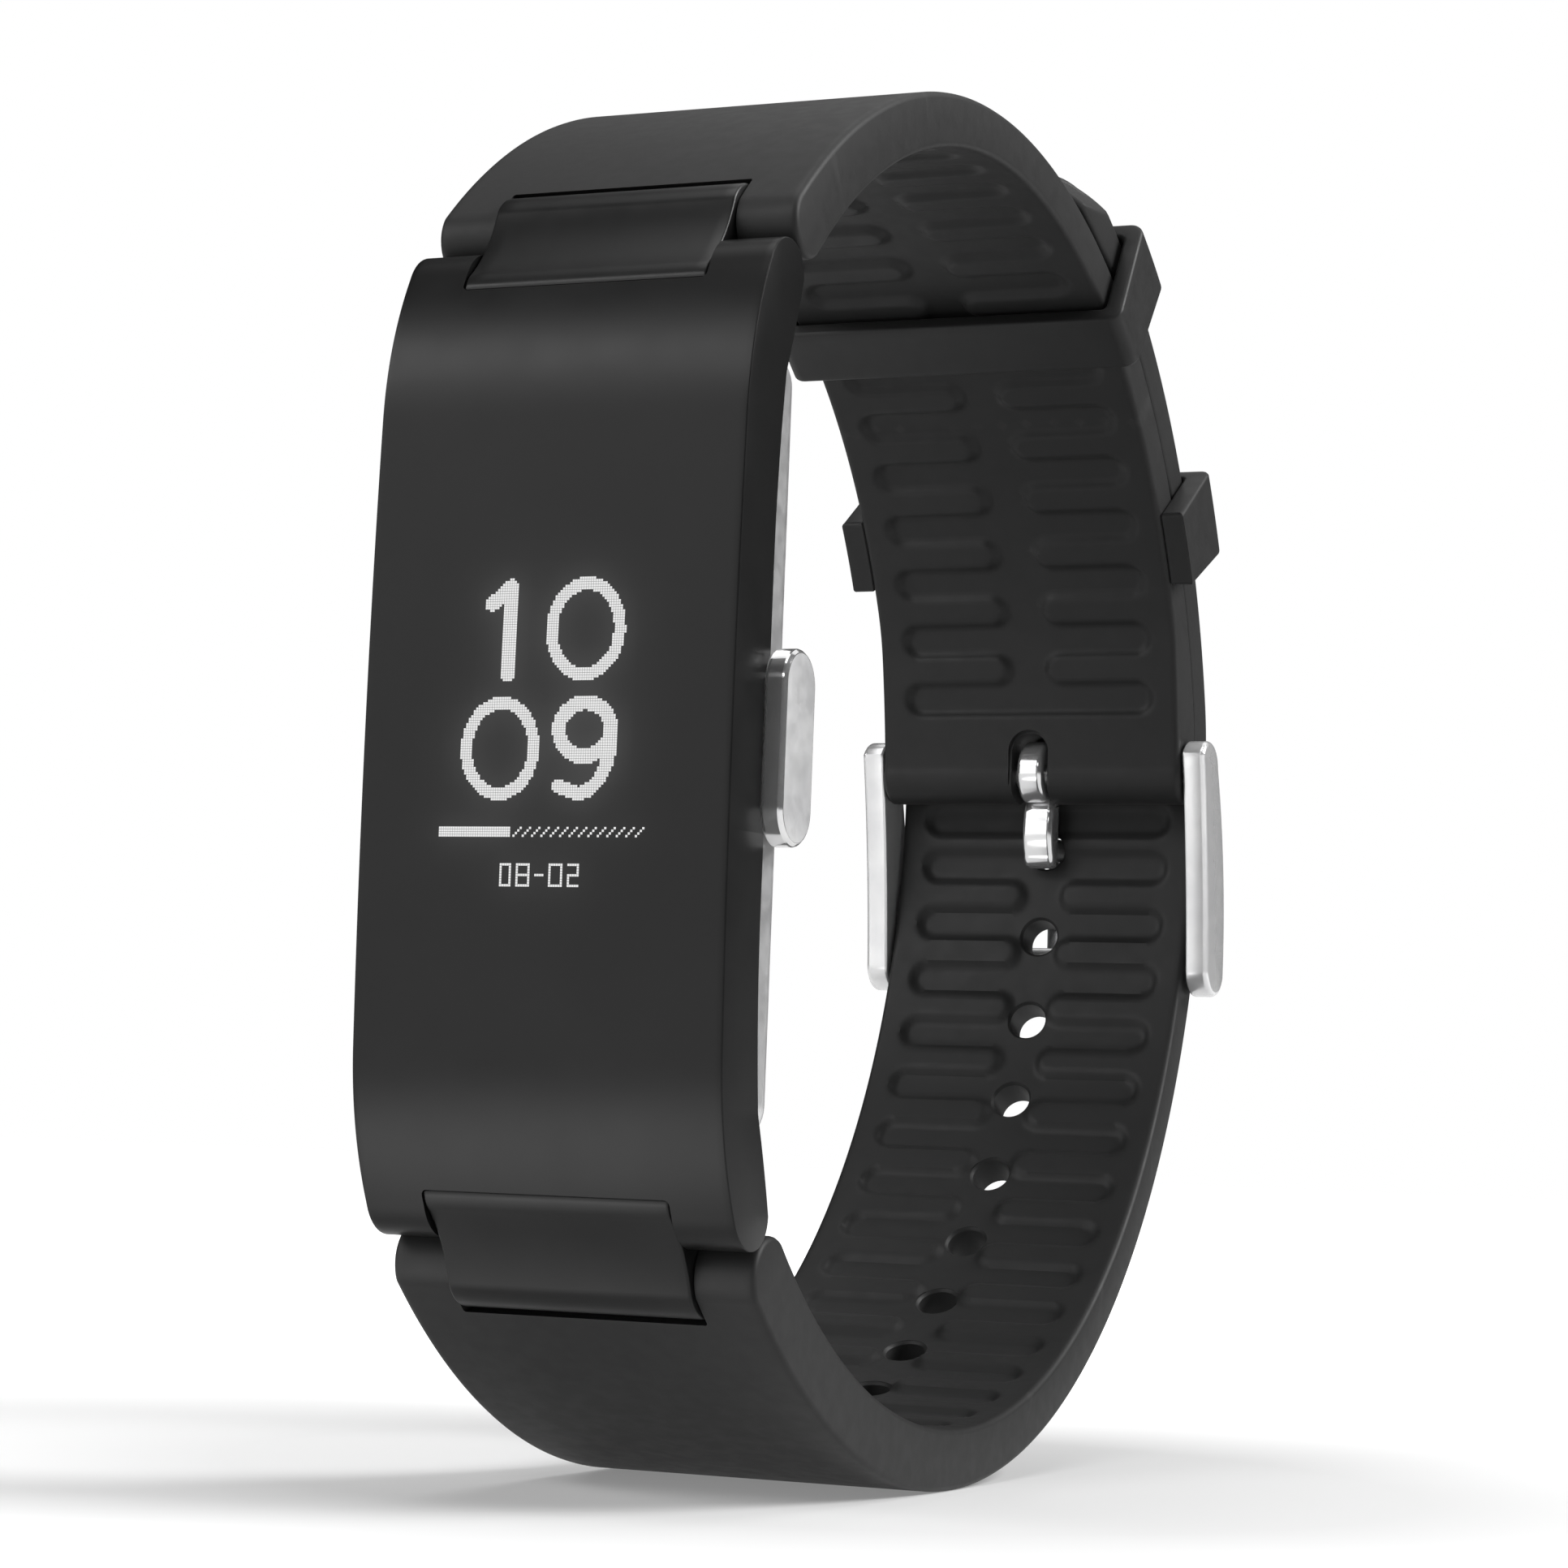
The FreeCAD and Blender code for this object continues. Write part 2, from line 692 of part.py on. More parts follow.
def buckle_prong():
    """Prong: knuckle on the bar, flat shank, a round neck out through the hole, tip over the cross-bar."""
    y, z = buckle_axis
    (hole_y, hole_z), hole_angle = walk(lower_inner, prong_hole_distance())
    knuckle = cylinder_x(prong_knuckle_radius, -prong_half_width, prong_half_width, y, z)
    face = hole_y - 0.35
    shank = [
        (y - 0.95, z - 0.75),
        (face - 1.0, hole_z + 0.6),
        (face - 0.95, hole_z - 0.45),
        (face - 0.5, hole_z - 0.95),
        (face, hole_z - 0.95),
        (face, hole_z + 1.9),
        (y + 1.0, z - 0.75),
    ]
    prong = knuckle.fuse(polygon_prism(shank, prong_half_width))
    outward = vec(0, cos(radians(hole_angle)), sin(radians(hole_angle)))
    neck_start = vec(0, hole_y, hole_z) - outward * 0.6
    neck = Part.makeCylinder(prong_neck_radius, lower_thickness + 1.2, neck_start, outward)
    prong = prong.fuse(neck).fuse(prong_tip(hole_y + lower_thickness, hole_z))
    return prong.removeSplitter().cut(cylinder_x(tube_radius + 0.04, -2, 2, y, z))


def prong_tip(outer_y, hole_z):
    """Outside part of the prong, from its neck down to where it rests on the cross-bar."""
    bar_y0, bar_z0 = crossbar_centre()
    rest_y = bar_y0 + crossbar_radius + 0.04
    outline = [
        (outer_y + 0.12, hole_z + 0.7),
        (outer_y + 0.12, hole_z - 0.8),
        (rest_y, bar_z0 + 0.9),
        (rest_y, bar_z0 - 1.1),
        (rest_y + 0.5, bar_z0 - 1.5),
        (rest_y + 1.0, bar_z0 - 1.0),
        (rest_y + 1.0, bar_z0 + 1.3),
        (outer_y + 1.1, hole_z + 0.3),
        (outer_y + 0.8, hole_z + 0.7),
    ]
    return polygon_prism(outline, prong_neck_radius)


# ---------------------------------------------------------------- assembly
def bar_set(name, half, reach, y, z):
    right = bar_pin(half, reach, y, z)
    return {
        name + "_bar_tube": bar_tube(half, y, z),
        name + "_bar_pin_right": right,
        name + "_bar_pin_left": mirrored_x(right),
        name + "_bar_spring": bar_spring(half, y, z),
    }


def build():
    makers = [
        front_cover, display_tape, display_panel, display_flex, mid_frame, case_seal, case_back,
        main_board, processor_chip, antenna_chip, tact_switch, switch_plunger, battery, battery_pad,
        motor_cradle, motor_can, motor_weight, sensor_board, sensor_leds, photodiode, sensor_window,
        charging_contacts, button_cap, button_clip, button_seal, upper_strap, lower_strap,
        fixed_keeper, free_keeper, buckle_frame, buckle_prong,
    ]
    parts = {maker.__name__: maker() for maker in makers}
    parts.update(bar_set("upper", lug_tube_half, lug_tip_reach, bar_y, bar_z))
    parts.update(bar_set("lower", lug_tube_half, lug_tip_reach, bar_y, -bar_z))
    parts.update(bar_set("buckle", buckle_tube_half, buckle_tip_reach, *buckle_axis))
    return parts


def export(parts):
    whole = Part.makeCompound(list(parts.values())).BoundBox
    shift = vec(0, -(whole.YMin + whole.YMax) / 2, -whole.ZMin)
    os.makedirs("parts", exist_ok=True)
    for name, shape in parts.items():
        shape.translate(shift)
        shape.exportStep("parts/" + name + ".step")
        if not shape.isValid():
            print("not valid:", name)
    print("shift", round(shift.y, 3), round(shift.z, 3))
    print("buckle axis", [round(v, 3) for v in buckle_axis])
    print("crossbar", [round(v, 3) for v in crossbar_centre()])
    print("box", whole)


export(build())
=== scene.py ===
import json
from math import cos, pi, radians, sin, sqrt

import bmesh
import bpy
import numpy as np
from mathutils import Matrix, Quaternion, Vector


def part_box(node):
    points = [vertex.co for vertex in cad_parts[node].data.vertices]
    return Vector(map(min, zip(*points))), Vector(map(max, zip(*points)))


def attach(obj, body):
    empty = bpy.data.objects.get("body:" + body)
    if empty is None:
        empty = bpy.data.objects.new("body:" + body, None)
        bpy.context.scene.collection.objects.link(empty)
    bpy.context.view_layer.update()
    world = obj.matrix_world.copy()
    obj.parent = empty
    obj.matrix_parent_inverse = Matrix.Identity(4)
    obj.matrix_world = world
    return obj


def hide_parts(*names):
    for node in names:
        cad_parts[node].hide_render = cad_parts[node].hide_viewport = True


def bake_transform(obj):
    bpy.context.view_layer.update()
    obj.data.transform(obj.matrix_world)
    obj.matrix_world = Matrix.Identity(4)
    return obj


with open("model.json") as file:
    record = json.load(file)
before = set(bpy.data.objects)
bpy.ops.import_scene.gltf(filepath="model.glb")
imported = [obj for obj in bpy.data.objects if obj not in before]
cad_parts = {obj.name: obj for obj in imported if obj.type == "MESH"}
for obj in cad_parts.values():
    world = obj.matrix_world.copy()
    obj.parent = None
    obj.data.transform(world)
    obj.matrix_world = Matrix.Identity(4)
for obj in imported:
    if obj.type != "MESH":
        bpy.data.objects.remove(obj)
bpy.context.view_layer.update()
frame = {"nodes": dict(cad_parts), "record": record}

# Lengths are in millimetres in the band's own working frame: x across the band, y back from the
# cover's front face, z up from the case's middle. place() turns them into the row frame in metres.
MM = 0.001
cover_low, cover_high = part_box("front_cover")
origin = np.array([0.0, cover_low.y, (cover_low.z + cover_high.z) / 2]) / MM
nodes = frame["nodes"]

# Glow of the floor as the camera sees it, near the band and far from it, and as the band is lit by
# it: a bright patch in front of the case, and a weak fill elsewhere. Places are in metres.
FLOOR_SEEN_NEAR, FLOOR_SEEN_FAR = 0.22, 1.0
FLOOR_BOUNCE, FLOOR_FILL, BOUNCE_CENTRE = 2.8, 0.24, (-0.015, -0.068, 0.0)
ROOM_LIGHT = 0.03


# ---------------------------------------------------------------- camera
def make_camera():
    """Long lens a little below the case's middle, turned to show the button side, slightly rolled."""
    data = bpy.data.cameras.new("camera")
    data.sensor_width = 36.0
    data.lens = 92.3
    data.clip_start, data.clip_end = 0.01, 20.0
    camera = bpy.data.objects.new("camera", data)
    azimuth, elevation, roll = radians(23.9), radians(-5.2), radians(2.2)
    back = Vector((sin(azimuth) * cos(elevation), -cos(azimuth) * cos(elevation), sin(elevation)))
    camera.location = (0.08017, -0.18897, 0.01615)
    camera.rotation_mode = "QUATERNION"
    camera.rotation_quaternion = (-back).to_track_quat("-Z", "Y") @ Quaternion((0, 0, 1), roll)
    bpy.context.scene.collection.objects.link(camera)
    bpy.context.scene.camera = camera


# ---------------------------------------------------------------- outlines in a plane
def turn(angle):
    return np.array([cos(radians(angle)), sin(radians(angle))])


def arc(centre, radius, start, end, step=0.1):
    """Points on an arc between two angles in degrees."""
    count = max(3, int(abs(radians(end - start)) * radius / step))
    return np.array([np.array(centre) + radius * turn(a) for a in np.linspace(start, end, count)])


def arc_through(a, b, c, count=24):
    """Points on the circular arc from a through b to c."""
    a, b, c = (np.array(p, float) for p in (a, b, c))
    rows = 2 * np.array([b - a, c - a])
    centre = np.linalg.solve(rows, [b @ b - a @ a, c @ c - a @ a])
    angles = [np.arctan2(*(p - centre)[::-1]) for p in (a, b, c)]
    way = (angles[1] - angles[0]) % (2 * pi) < (angles[2] - angles[0]) % (2 * pi)
    sweep = (angles[2] - angles[0]) % (2 * pi) if way else -((angles[0] - angles[2]) % (2 * pi))
    radius = np.linalg.norm(a - centre)
    turns = angles[0] + sweep * np.linspace(0, 1, count)
    return centre + radius * np.stack([np.cos(turns), np.sin(turns)], 1)


def path(*pieces):
    """One line from several, with doubled points dropped."""
    points = np.concatenate([np.atleast_2d(p) for p in pieces])
    keep = np.r_[True, np.linalg.norm(np.diff(points, axis=0), axis=1) > 1e-6]
    return points[keep]


def lengths(points):
    return np.r_[0, np.cumsum(np.linalg.norm(np.diff(points, axis=0), axis=1))]


def resample(points, count):
    """count + 1 points evenly spaced along a line."""
    run = lengths(points)
    at = np.linspace(0, run[-1], count + 1)
    return np.stack([np.interp(at, run, points[:, k]) for k in range(points.shape[1])], 1)


def band(side_a, side_b, count):
    """Closed outline from two lines that share both ends; point i lies across from point -i."""
    a, b = resample(side_a, count), resample(side_b, count)
    return np.concatenate([a, b[-2:0:-1]])


def outward(outline):
    """Unit normals of a closed outline, pointing out."""
    along = np.roll(outline, -1, 0) - np.roll(outline, 1, 0)
    normal = np.stack([along[:, 1], -along[:, 0]], 1)
    normal /= np.maximum(np.linalg.norm(normal, axis=1), 1e-9)[:, None]
    x, y = outline.T
    area = np.sum(x * np.roll(y, -1) - np.roll(x, -1) * y)
    return normal if area > 0 else -normal


def rounded_box(half_a, half_b, corner, per_corner=8, per_side=6):
    """Rounded rectangle that starts at the middle of its upper side, with the same point count each time."""
    quarter = [np.array([[0, half_b], [half_a - corner, half_b]])]
    quarter.append(arc((half_a - corner, half_b - corner), corner, 90, 0, corner * pi / 2 / per_corner))
    quarter.append(np.array([[half_a, half_b - corner], [half_a, 0]]))
    top = np.linspace(quarter[0][0], quarter[0][1], per_side, endpoint=False)
    side = np.linspace(quarter[2][0], quarter[2][1], per_side + 1)[1:]
    right_up = np.concatenate([top, quarter[1], side])
    right_down = right_up[-2::-1] * [1, -1]
    right = np.concatenate([right_up, right_down])
    return np.concatenate([right, right[-2:0:-1] * [-1, 1]])


def pill(half_a, half_b, count=48):
    """Upright pill with round ends; half_a is its end radius."""
    reach = half_b - half_a
    top = arc((0, reach), half_a, 90, 0, half_a * pi / 2 / (count // 4))
    right = path(top, top[::-1] * [1, -1])
    return np.concatenate([right, right[-2:0:-1] * [-1, 1]])


def disc(radius, count=32, centre=(0, 0)):
    angles = np.linspace(90, -270, count, endpoint=False)
    return np.array([np.array(centre) + radius * turn(a) for a in angles])


# ---------------------------------------------------------------- meshes
def place(points):
    return (np.asarray(points) + origin) * MM


def across_x(points, x):
    """An outline in y and z, at a place along x."""
    return np.column_stack([np.full(len(points), x), points])


def across_y(points, y):
    """An outline in x and z, at a depth y."""
    return np.column_stack([points[:, 0], np.full(len(points), y), points[:, 1]])


def cap_faces(base, count):
    """Faces that close a ring of points by joining each one to the point across from it."""
    faces = []
    for i in range(count // 2):
        face = [i, i + 1, (count - i - 1) % count, (count - i) % count]
        faces.append([base + k for k in dict.fromkeys(face)])
    return faces


def build(name, points, faces):
    mesh = bpy.data.meshes.new(name)
    mesh.from_pydata(place(points), [], faces)
    work = bmesh.new()
    work.from_mesh(mesh)
    bmesh.ops.remove_doubles(work, verts=work.verts, dist=1e-8)
    bmesh.ops.recalc_face_normals(work, faces=work.faces)
    work.to_mesh(mesh)
    work.free()
    piece = bpy.data.objects.new(name, mesh)
    bpy.context.scene.collection.objects.link(piece)
    return piece


def loft(name, rings, closed=False):
    """Skin over rings of points; closed joins the last ring to the first, otherwise the ends are capped."""
    count, steps = len(rings[0]), len(rings)
    faces = []
    for j in range(steps if closed else steps - 1):
        a, b = j * count, (j + 1) % steps * count
        for i in range(count):
            k = (i + 1) % count
            faces.append((a + i, a + k, b + k, b + i))
    if not closed:
        faces += cap_faces(0, count) + cap_faces((steps - 1) * count, count)
    return build(name, np.concatenate(rings), faces)


def stations(low, high, round_low, round_high, spacing=None, steps=5):
    """(place, inset) pairs along an extrusion whose end edges are rounded."""
    out = []
    for i in range(steps + 1 if round_low else 1):
        t = pi / 2 * i / steps
        out.append((low + round_low * (1 - cos(t)), round_low * (1 - sin(t))))
    if spacing:
        inner = np.arange(low + round_low + spacing, high - round_high - spacing / 2, spacing)
        out += [(x, 0.0) for x in inner]
    for i in range(steps + 1 if round_high else 1):
        t = pi / 2 * (1 - i / steps)
        out.append((high - round_high * (1 - cos(t)), round_high * (1 - sin(t))))
    return out


def extrude(name, outline, places, to_space=across_x):
    normal = outward(outline)
    return loft(name, [to_space(outline - normal * inset, x) for x, inset in places])


def rod(name, radius, x0, x1, y, z, chamfer=0.08):
    return extrude(name, disc(radius, 32, (y, z)), stations(x0, x1, chamfer, chamfer, steps=2))


def combine(piece, others, operation="DIFFERENCE"):
    """Boolean of a piece with each of the others, which are used up."""
    for other in others:
        modifier = piece.modifiers.new("cut", "BOOLEAN")
        modifier.operation = operation
        modifier.solver = "MANIFOLD"
        modifier.object = other
        graph = bpy.context.evaluated_depsgraph_get()
        mesh = bpy.data.meshes.new_from_object(piece.evaluated_get(graph))
        piece.modifiers.clear()
        if len(mesh.polygons) < 4:
            raise RuntimeError(f"boolean emptied {piece.name}")
        piece.data = mesh
        bpy.data.objects.remove(other)


def finish(piece, body, material, replaces=(), crease=32):
    """Shading, finish and place in the model of a piece whose mesh is final."""
    piece.data.materials.clear()
    for one in material if isinstance(material, list) else [material]:
        piece.data.materials.append(one)
    piece.data.polygons.foreach_set("use_smooth", [True] * len(piece.data.polygons))
    piece.data.set_sharp_from_angle(angle=radians(crease))
    if body:
        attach(piece, body)
    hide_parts(*replaces)


# ---------------------------------------------------------------- materials
class Nodes:
    """Short way to add and join shader nodes."""

    def __init__(self, name):
        self.material = bpy.data.materials.new(name)
        self.material.use_nodes = True
        self.tree = self.material.node_tree
        self.shader = self.tree.nodes["Principled BSDF"]
        self.place = self.add("ShaderNodeTexCoord").outputs["Object"]

    def add(self, kind, **settings):
        node = self.tree.nodes.new(kind)
        for key, value in settings.items():
            if key in node.inputs:
                node.inputs[key].default_value = value
            else:
                setattr(node, key, value)
        return node

    def join(self, a, b):
        self.tree.links.new(a, b)

    def noise(self, size_mm, detail=2.0, stretch=(1, 1, 1)):
        """Noise whose features are about size_mm across."""
        mapping = self.add("ShaderNodeMapping")
        mapping.inputs["Scale"].default_value = [s / (size_mm * MM) for s in stretch]
        noise = self.add("ShaderNodeTexNoise", Detail=detail, Scale=1.0)
        self.join(self.place, mapping.inputs["Vector"])
        self.join(mapping.outputs["Vector"], noise.inputs["Vector"])
        return noise.outputs["Fac"]

    def spread(self, value, low, high, start=0.35, end=0.65):
        ramp = self.add("ShaderNodeMapRange")
        ramp.inputs["From Min"].default_value = start
        ramp.inputs["From Max"].default_value = end
        ramp.inputs["To Min"].default_value = low
        ramp.inputs["To Max"].default_value = high
        self.join(value, ramp.inputs["Value"])
        return ramp.outputs["Result"]

    def mix(self, amount, a, b):
        mix = self.add("ShaderNodeMix", data_type="RGBA")
        self.join(amount, mix.inputs["Factor"])
        for value, socket in ((a, mix.inputs[6]), (b, mix.inputs[7])):
            if isinstance(value, tuple):
                socket.default_value = (*value, 1.0)
            else:
                self.join(value, socket)
        return mix.outputs[2]

    def bump(self, value, depth_mm, before=None):
        bump = self.add("ShaderNodeBump", Strength=1.0, Distance=depth_mm * MM)
        self.join(value, bump.inputs["Height"])
        if before is not None:
            self.join(before, bump.inputs["Normal"])
        return bump.outputs["Normal"]

    def painted_edge_highlight(self, start=0.52, end=0.6):
        """Mask of a painted highlight: high on sharp outer edges, broken up by noise."""
        edge = self.add("ShaderNodeNewGeometry").outputs["Pointiness"]
        mask = self.spread(edge, 0.0, 1.0, start, end)
        times = self.add("ShaderNodeMath", operation="MULTIPLY")
        self.join(mask, times.inputs[0])
        self.join(self.spread(self.noise(0.7, 4.0), 0.15, 1.0), times.inputs[1])
        return times.outputs["Value"]


def grey(level, tint=(1.0, 1.0, 1.0)):
    return tuple(level * t for t in tint)


def surface(name, colour, other, rough, metallic=0.0, grain=0.12, depth=0.004, **fixed):
    """General finish: two close colours in blotches, varied roughness and fine grain."""
    n = Nodes(name)
    base = n.mix(n.spread(n.noise(2.4, 4.0), 0.0, 1.0), colour, other)
    n.join(base, n.shader.inputs["Base Color"])
    n.join(n.spread(n.noise(1.3, 5.0), *rough), n.shader.inputs["Roughness"])
    n.join(n.bump(n.noise(grain, 3.0), depth), n.shader.inputs["Normal"])
    n.shader.inputs["Metallic"].default_value = metallic
    for key, value in fixed.items():
        n.shader.inputs[key.replace("_", " ")].default_value = value
    return n.material


def silicone(name, level, rough):
    """Matte rubber: fine pebbling, faint dust in the blotches, and sharp outer edges painted lighter in
    noisy patches as a painted highlight.
    """
    n = Nodes(name)
    dust = n.spread(n.noise(3.5, 6.0), 0.0, 1.0, 0.4, 0.75)
    base = n.mix(dust, grey(level), grey(level * 1.12))
    # Painted highlight: sharp outer edges get a base colour 1.7 times lighter.
    n.join(n.mix(n.painted_edge_highlight(), base, grey(level * 1.7)), n.shader.inputs["Base Color"])
    n.join(n.spread(n.noise(0.9, 5.0), *rough), n.shader.inputs["Roughness"])
    soft = n.bump(n.noise(1.6, 2.0), 0.006)
    n.join(n.bump(n.noise(0.07, 2.0), 0.0016, soft), n.shader.inputs["Normal"])
    n.shader.inputs["Specular IOR Level"].default_value = 0.26
    n.shader.inputs["Sheen Weight"].default_value = 0.02
    n.shader.inputs["Sheen Roughness"].default_value = 0.5
    return n.material


def cover_plastic(name):
    """Satin black moulding over the display, with a faint glow where the pixels shine through."""
    n = Nodes(name)
    smudge = n.spread(n.noise(5.0, 5.0), 0.0, 1.0, 0.4, 0.7)
    base = n.mix(smudge, grey(0.0042), grey(0.0052))
    n.join(base, n.shader.inputs["Base Color"])
    n.join(n.spread(n.noise(3.0, 6.0), 0.33, 0.37), n.shader.inputs["Roughness"])
    n.join(n.bump(n.noise(0.05, 2.0), 0.0005), n.shader.inputs["Normal"])
    n.shader.inputs["Specular IOR Level"].default_value = 0.22
    glow = n.add("ShaderNodeAttribute", attribute_name="glow")
    n.join(glow.outputs["Color"], n.shader.inputs["Emission Color"])
    n.shader.inputs["Emission Strength"].default_value = 1.0
    return n.material


def lit_pixel(name):
    n = Nodes(name)
    n.join(n.spread(n.noise(0.4, 2.0), 0.35, 0.5), n.shader.inputs["Roughness"])
    n.join(n.mix(n.noise(0.8, 2.0), grey(0.6), grey(0.68)), n.shader.inputs["Emission Color"])
    n.shader.inputs["Base Color"].default_value = (*grey(0.1), 1)
    n.shader.inputs["Emission Strength"].default_value = 1.0
    return n.material


def steel(name, level, rough, brush=None, depth=0.0006, grain=0.05, metallic=1.0):
    """Steel, polished or brushed along one direction, with hairline scratches."""
    n = Nodes(name)
    base = n.mix(n.spread(n.noise(1.8, 4.0), 0.0, 1.0), grey(level), grey(level * 0.93, (1.0, 1.0, 1.01)))
    n.join(base, n.shader.inputs["Base Color"])
    n.join(n.spread(n.noise(0.8, 6.0), *rough), n.shader.inputs["Roughness"])
    lines = n.noise(grain, 3.0, brush or (1, 1, 1))
    scratches = n.noise(0.03, 2.0, (1.0, 0.9, 0.04))
    n.join(n.bump(lines, depth, n.bump(scratches, 0.0001)), n.shader.inputs["Normal"])
    n.shader.inputs["Metallic"].default_value = metallic
    return n.material


def window_glass(name):
    """Smoked window, clear enough to show the sensor's parts behind it."""
    material = surface(name, grey(0.012), grey(0.016), (0.05, 0.09), depth=0.0003, Coat_Weight=0.6)
    shader = material.node_tree.nodes["Principled BSDF"]
    shader.inputs["Transmission Weight"].default_value = 0.85
    shader.inputs["Alpha"].default_value = 0.55
    return material


def make_materials():
    gold = (0.83, 0.58, 0.24)
    return {
        "cover_black": cover_plastic("cover_plastic"),
        "pixels": lit_pixel("lit_pixels"),
        "tape_black": surface("tape", grey(0.01), grey(0.014), (0.6, 0.75)),
        "display_glass": surface("display", grey(0.006), grey(0.009), (0.05, 0.12), Coat_Weight=0.8),
        "flex_amber": surface("flex", (0.5, 0.2, 0.03), (0.42, 0.16, 0.02), (0.3, 0.45)),
        "frame_black": surface("tongue_plastic", grey(0.005), grey(0.006), (0.33, 0.37),
                               grain=0.06, depth=0.0004, Specular_IOR_Level=0.26),
        "seal_grey": surface("foam_seal", grey(0.12), grey(0.17), (0.8, 0.95), grain=0.15, depth=0.03),
        "case_metal": steel("case_steel", 0.72, (0.3, 0.38), (1, 1, 0.05), 0.0012, 0.06, 0.82),
        "board_green": surface("circuit_board", (0.01, 0.09, 0.04), (0.012, 0.12, 0.05), (0.35, 0.5),
                               depth=0.01),
        "chip_black": surface("chip", grey(0.02), grey(0.03), (0.5, 0.6)),
        "ceramic": surface("ceramic", (0.55, 0.5, 0.42), (0.6, 0.56, 0.5), (0.4, 0.6)),
        "switch_body": surface("switch_body", grey(0.6), grey(0.5), (0.3, 0.5), 1.0),
        "switch_plunger": surface("switch_plunger", grey(0.02), grey(0.03), (0.4, 0.5)),
        "battery_foil": surface("battery_foil", grey(0.55), grey(0.62), (0.25, 0.4), 0.9,
                                grain=0.6, depth=0.03),
        "foam_pad": surface("foam", grey(0.05), grey(0.07), (0.85, 0.95), grain=0.12, depth=0.03),
        "cradle_rubber": surface("cradle", grey(0.03), grey(0.04), (0.7, 0.8)),
        "motor_steel": steel("motor_can", 0.6, (0.25, 0.35), (0.1, 1, 1)),
        "tungsten": surface("tungsten", grey(0.25), grey(0.3), (0.35, 0.5), 1.0),
        "sensor_board": surface("sensor_board", grey(0.02), grey(0.03), (0.4, 0.5)),
        "led_lens": surface("led_lens", (0.7, 0.85, 0.5), (0.6, 0.8, 0.45), (0.1, 0.2)),
        "photodiode": surface("photodiode", (0.03, 0.03, 0.06), (0.05, 0.04, 0.09), (0.08, 0.15)),
        "window_smoke": window_glass("sensor_window"),
        "contact_gold": surface("contact_gold", gold, (0.78, 0.52, 0.2), (0.2, 0.3), 1.0, depth=0.001),
        "button_steel": steel("button_polish", 0.8, (0.1, 0.14), metallic=0.85),
        "button_face": steel("button_brushed", 0.85, (0.36, 0.42), (1, 1, 0.04), 0.001, 0.05, 0.75),
        "clip_steel": steel("clip_steel", 0.6, (0.2, 0.3)),
        "seal_black": surface("o_ring", grey(0.012), grey(0.016), (0.35, 0.5)),
        "strap_silicone": silicone("strap_silicone", 0.011, (0.5, 0.56)),
        "keeper_silicone": silicone("keeper_silicone", 0.011, (0.46, 0.52)),
        "buckle_steel": steel("buckle_steel", 0.82, (0.2, 0.26), (1, 1, 0.05), 0.0003, 0.05, 0.68),
        "prong_chrome": steel("prong_chrome", 0.8, (0.13, 0.18), depth=0.0002, metallic=0.85),
        "bar_steel": steel("bar_steel", 0.62, (0.2, 0.3), (0.05, 1, 1)),
    }


# ---------------------------------------------------------------- light and floor
def make_floor():
    """Plain pale floor, bright enough to run into the white room behind it."""
    half = 3.0
    points = [(-half, -half, 0.0), (half, -half, 0.0), (half, half, 0.0), (-half, half, 0.0)]
    mesh = bpy.data.meshes.new("floor")
    mesh.from_pydata(points, [], [(0, 1, 2, 3)])
    floor = bpy.data.objects.new("floor", mesh)
    bpy.context.scene.collection.objects.link(floor)
    n = Nodes("floor_paper")
    n.join(n.mix(n.noise(60.0, 3.0), grey(0.5), grey(0.52)), n.shader.inputs["Base Color"])
    n.shader.inputs["Roughness"].default_value = 0.9
    n.shader.inputs["Specular IOR Level"].default_value = 0.1
    away = n.add("ShaderNodeVectorMath", operation="LENGTH")
    n.join(n.place, away.inputs[0])
    seen = n.spread(away.outputs["Value"], FLOOR_SEEN_NEAR, FLOOR_SEEN_FAR, 0.03, 0.12)
    aside = n.add("ShaderNodeVectorMath", operation="DISTANCE")
    n.join(n.place, aside.inputs[0])
    aside.inputs[1].default_value = BOUNCE_CENTRE
    bounce = n.spread(aside.outputs["Value"], FLOOR_BOUNCE, FLOOR_FILL, 0.018, 0.036)
    rays = n.add("ShaderNodeLightPath")
    n.join(n.mix(rays.outputs["Is Camera Ray"], bounce, seen), n.shader.inputs["Emission Color"])
    n.shader.inputs["Emission Strength"].default_value = 1.0
    mesh.materials.append(n.material)


def card(name, azimuth, elevation, width, height, brightness, distance=0.6):
    """Soft light card of an even brightness, placed round the band and turned towards it."""
    a, e = radians(azimuth), radians(elevation)
    middle = Vector((0.0, 0.0, 0.034))
    away = Vector((sin(a) * cos(e), -cos(a) * cos(e), sin(e)))
    data = bpy.data.lights.new(name, "AREA")
    data.shape = "RECTANGLE"
    data.size, data.size_y = width, height
    data.energy = brightness * pi * width * height
    lamp = bpy.data.objects.new(name, data)
    lamp.location = middle + away * distance
    lamp.rotation_euler = away.to_track_quat("Z", "Y").to_euler()
    bpy.context.scene.collection.objects.link(lamp)


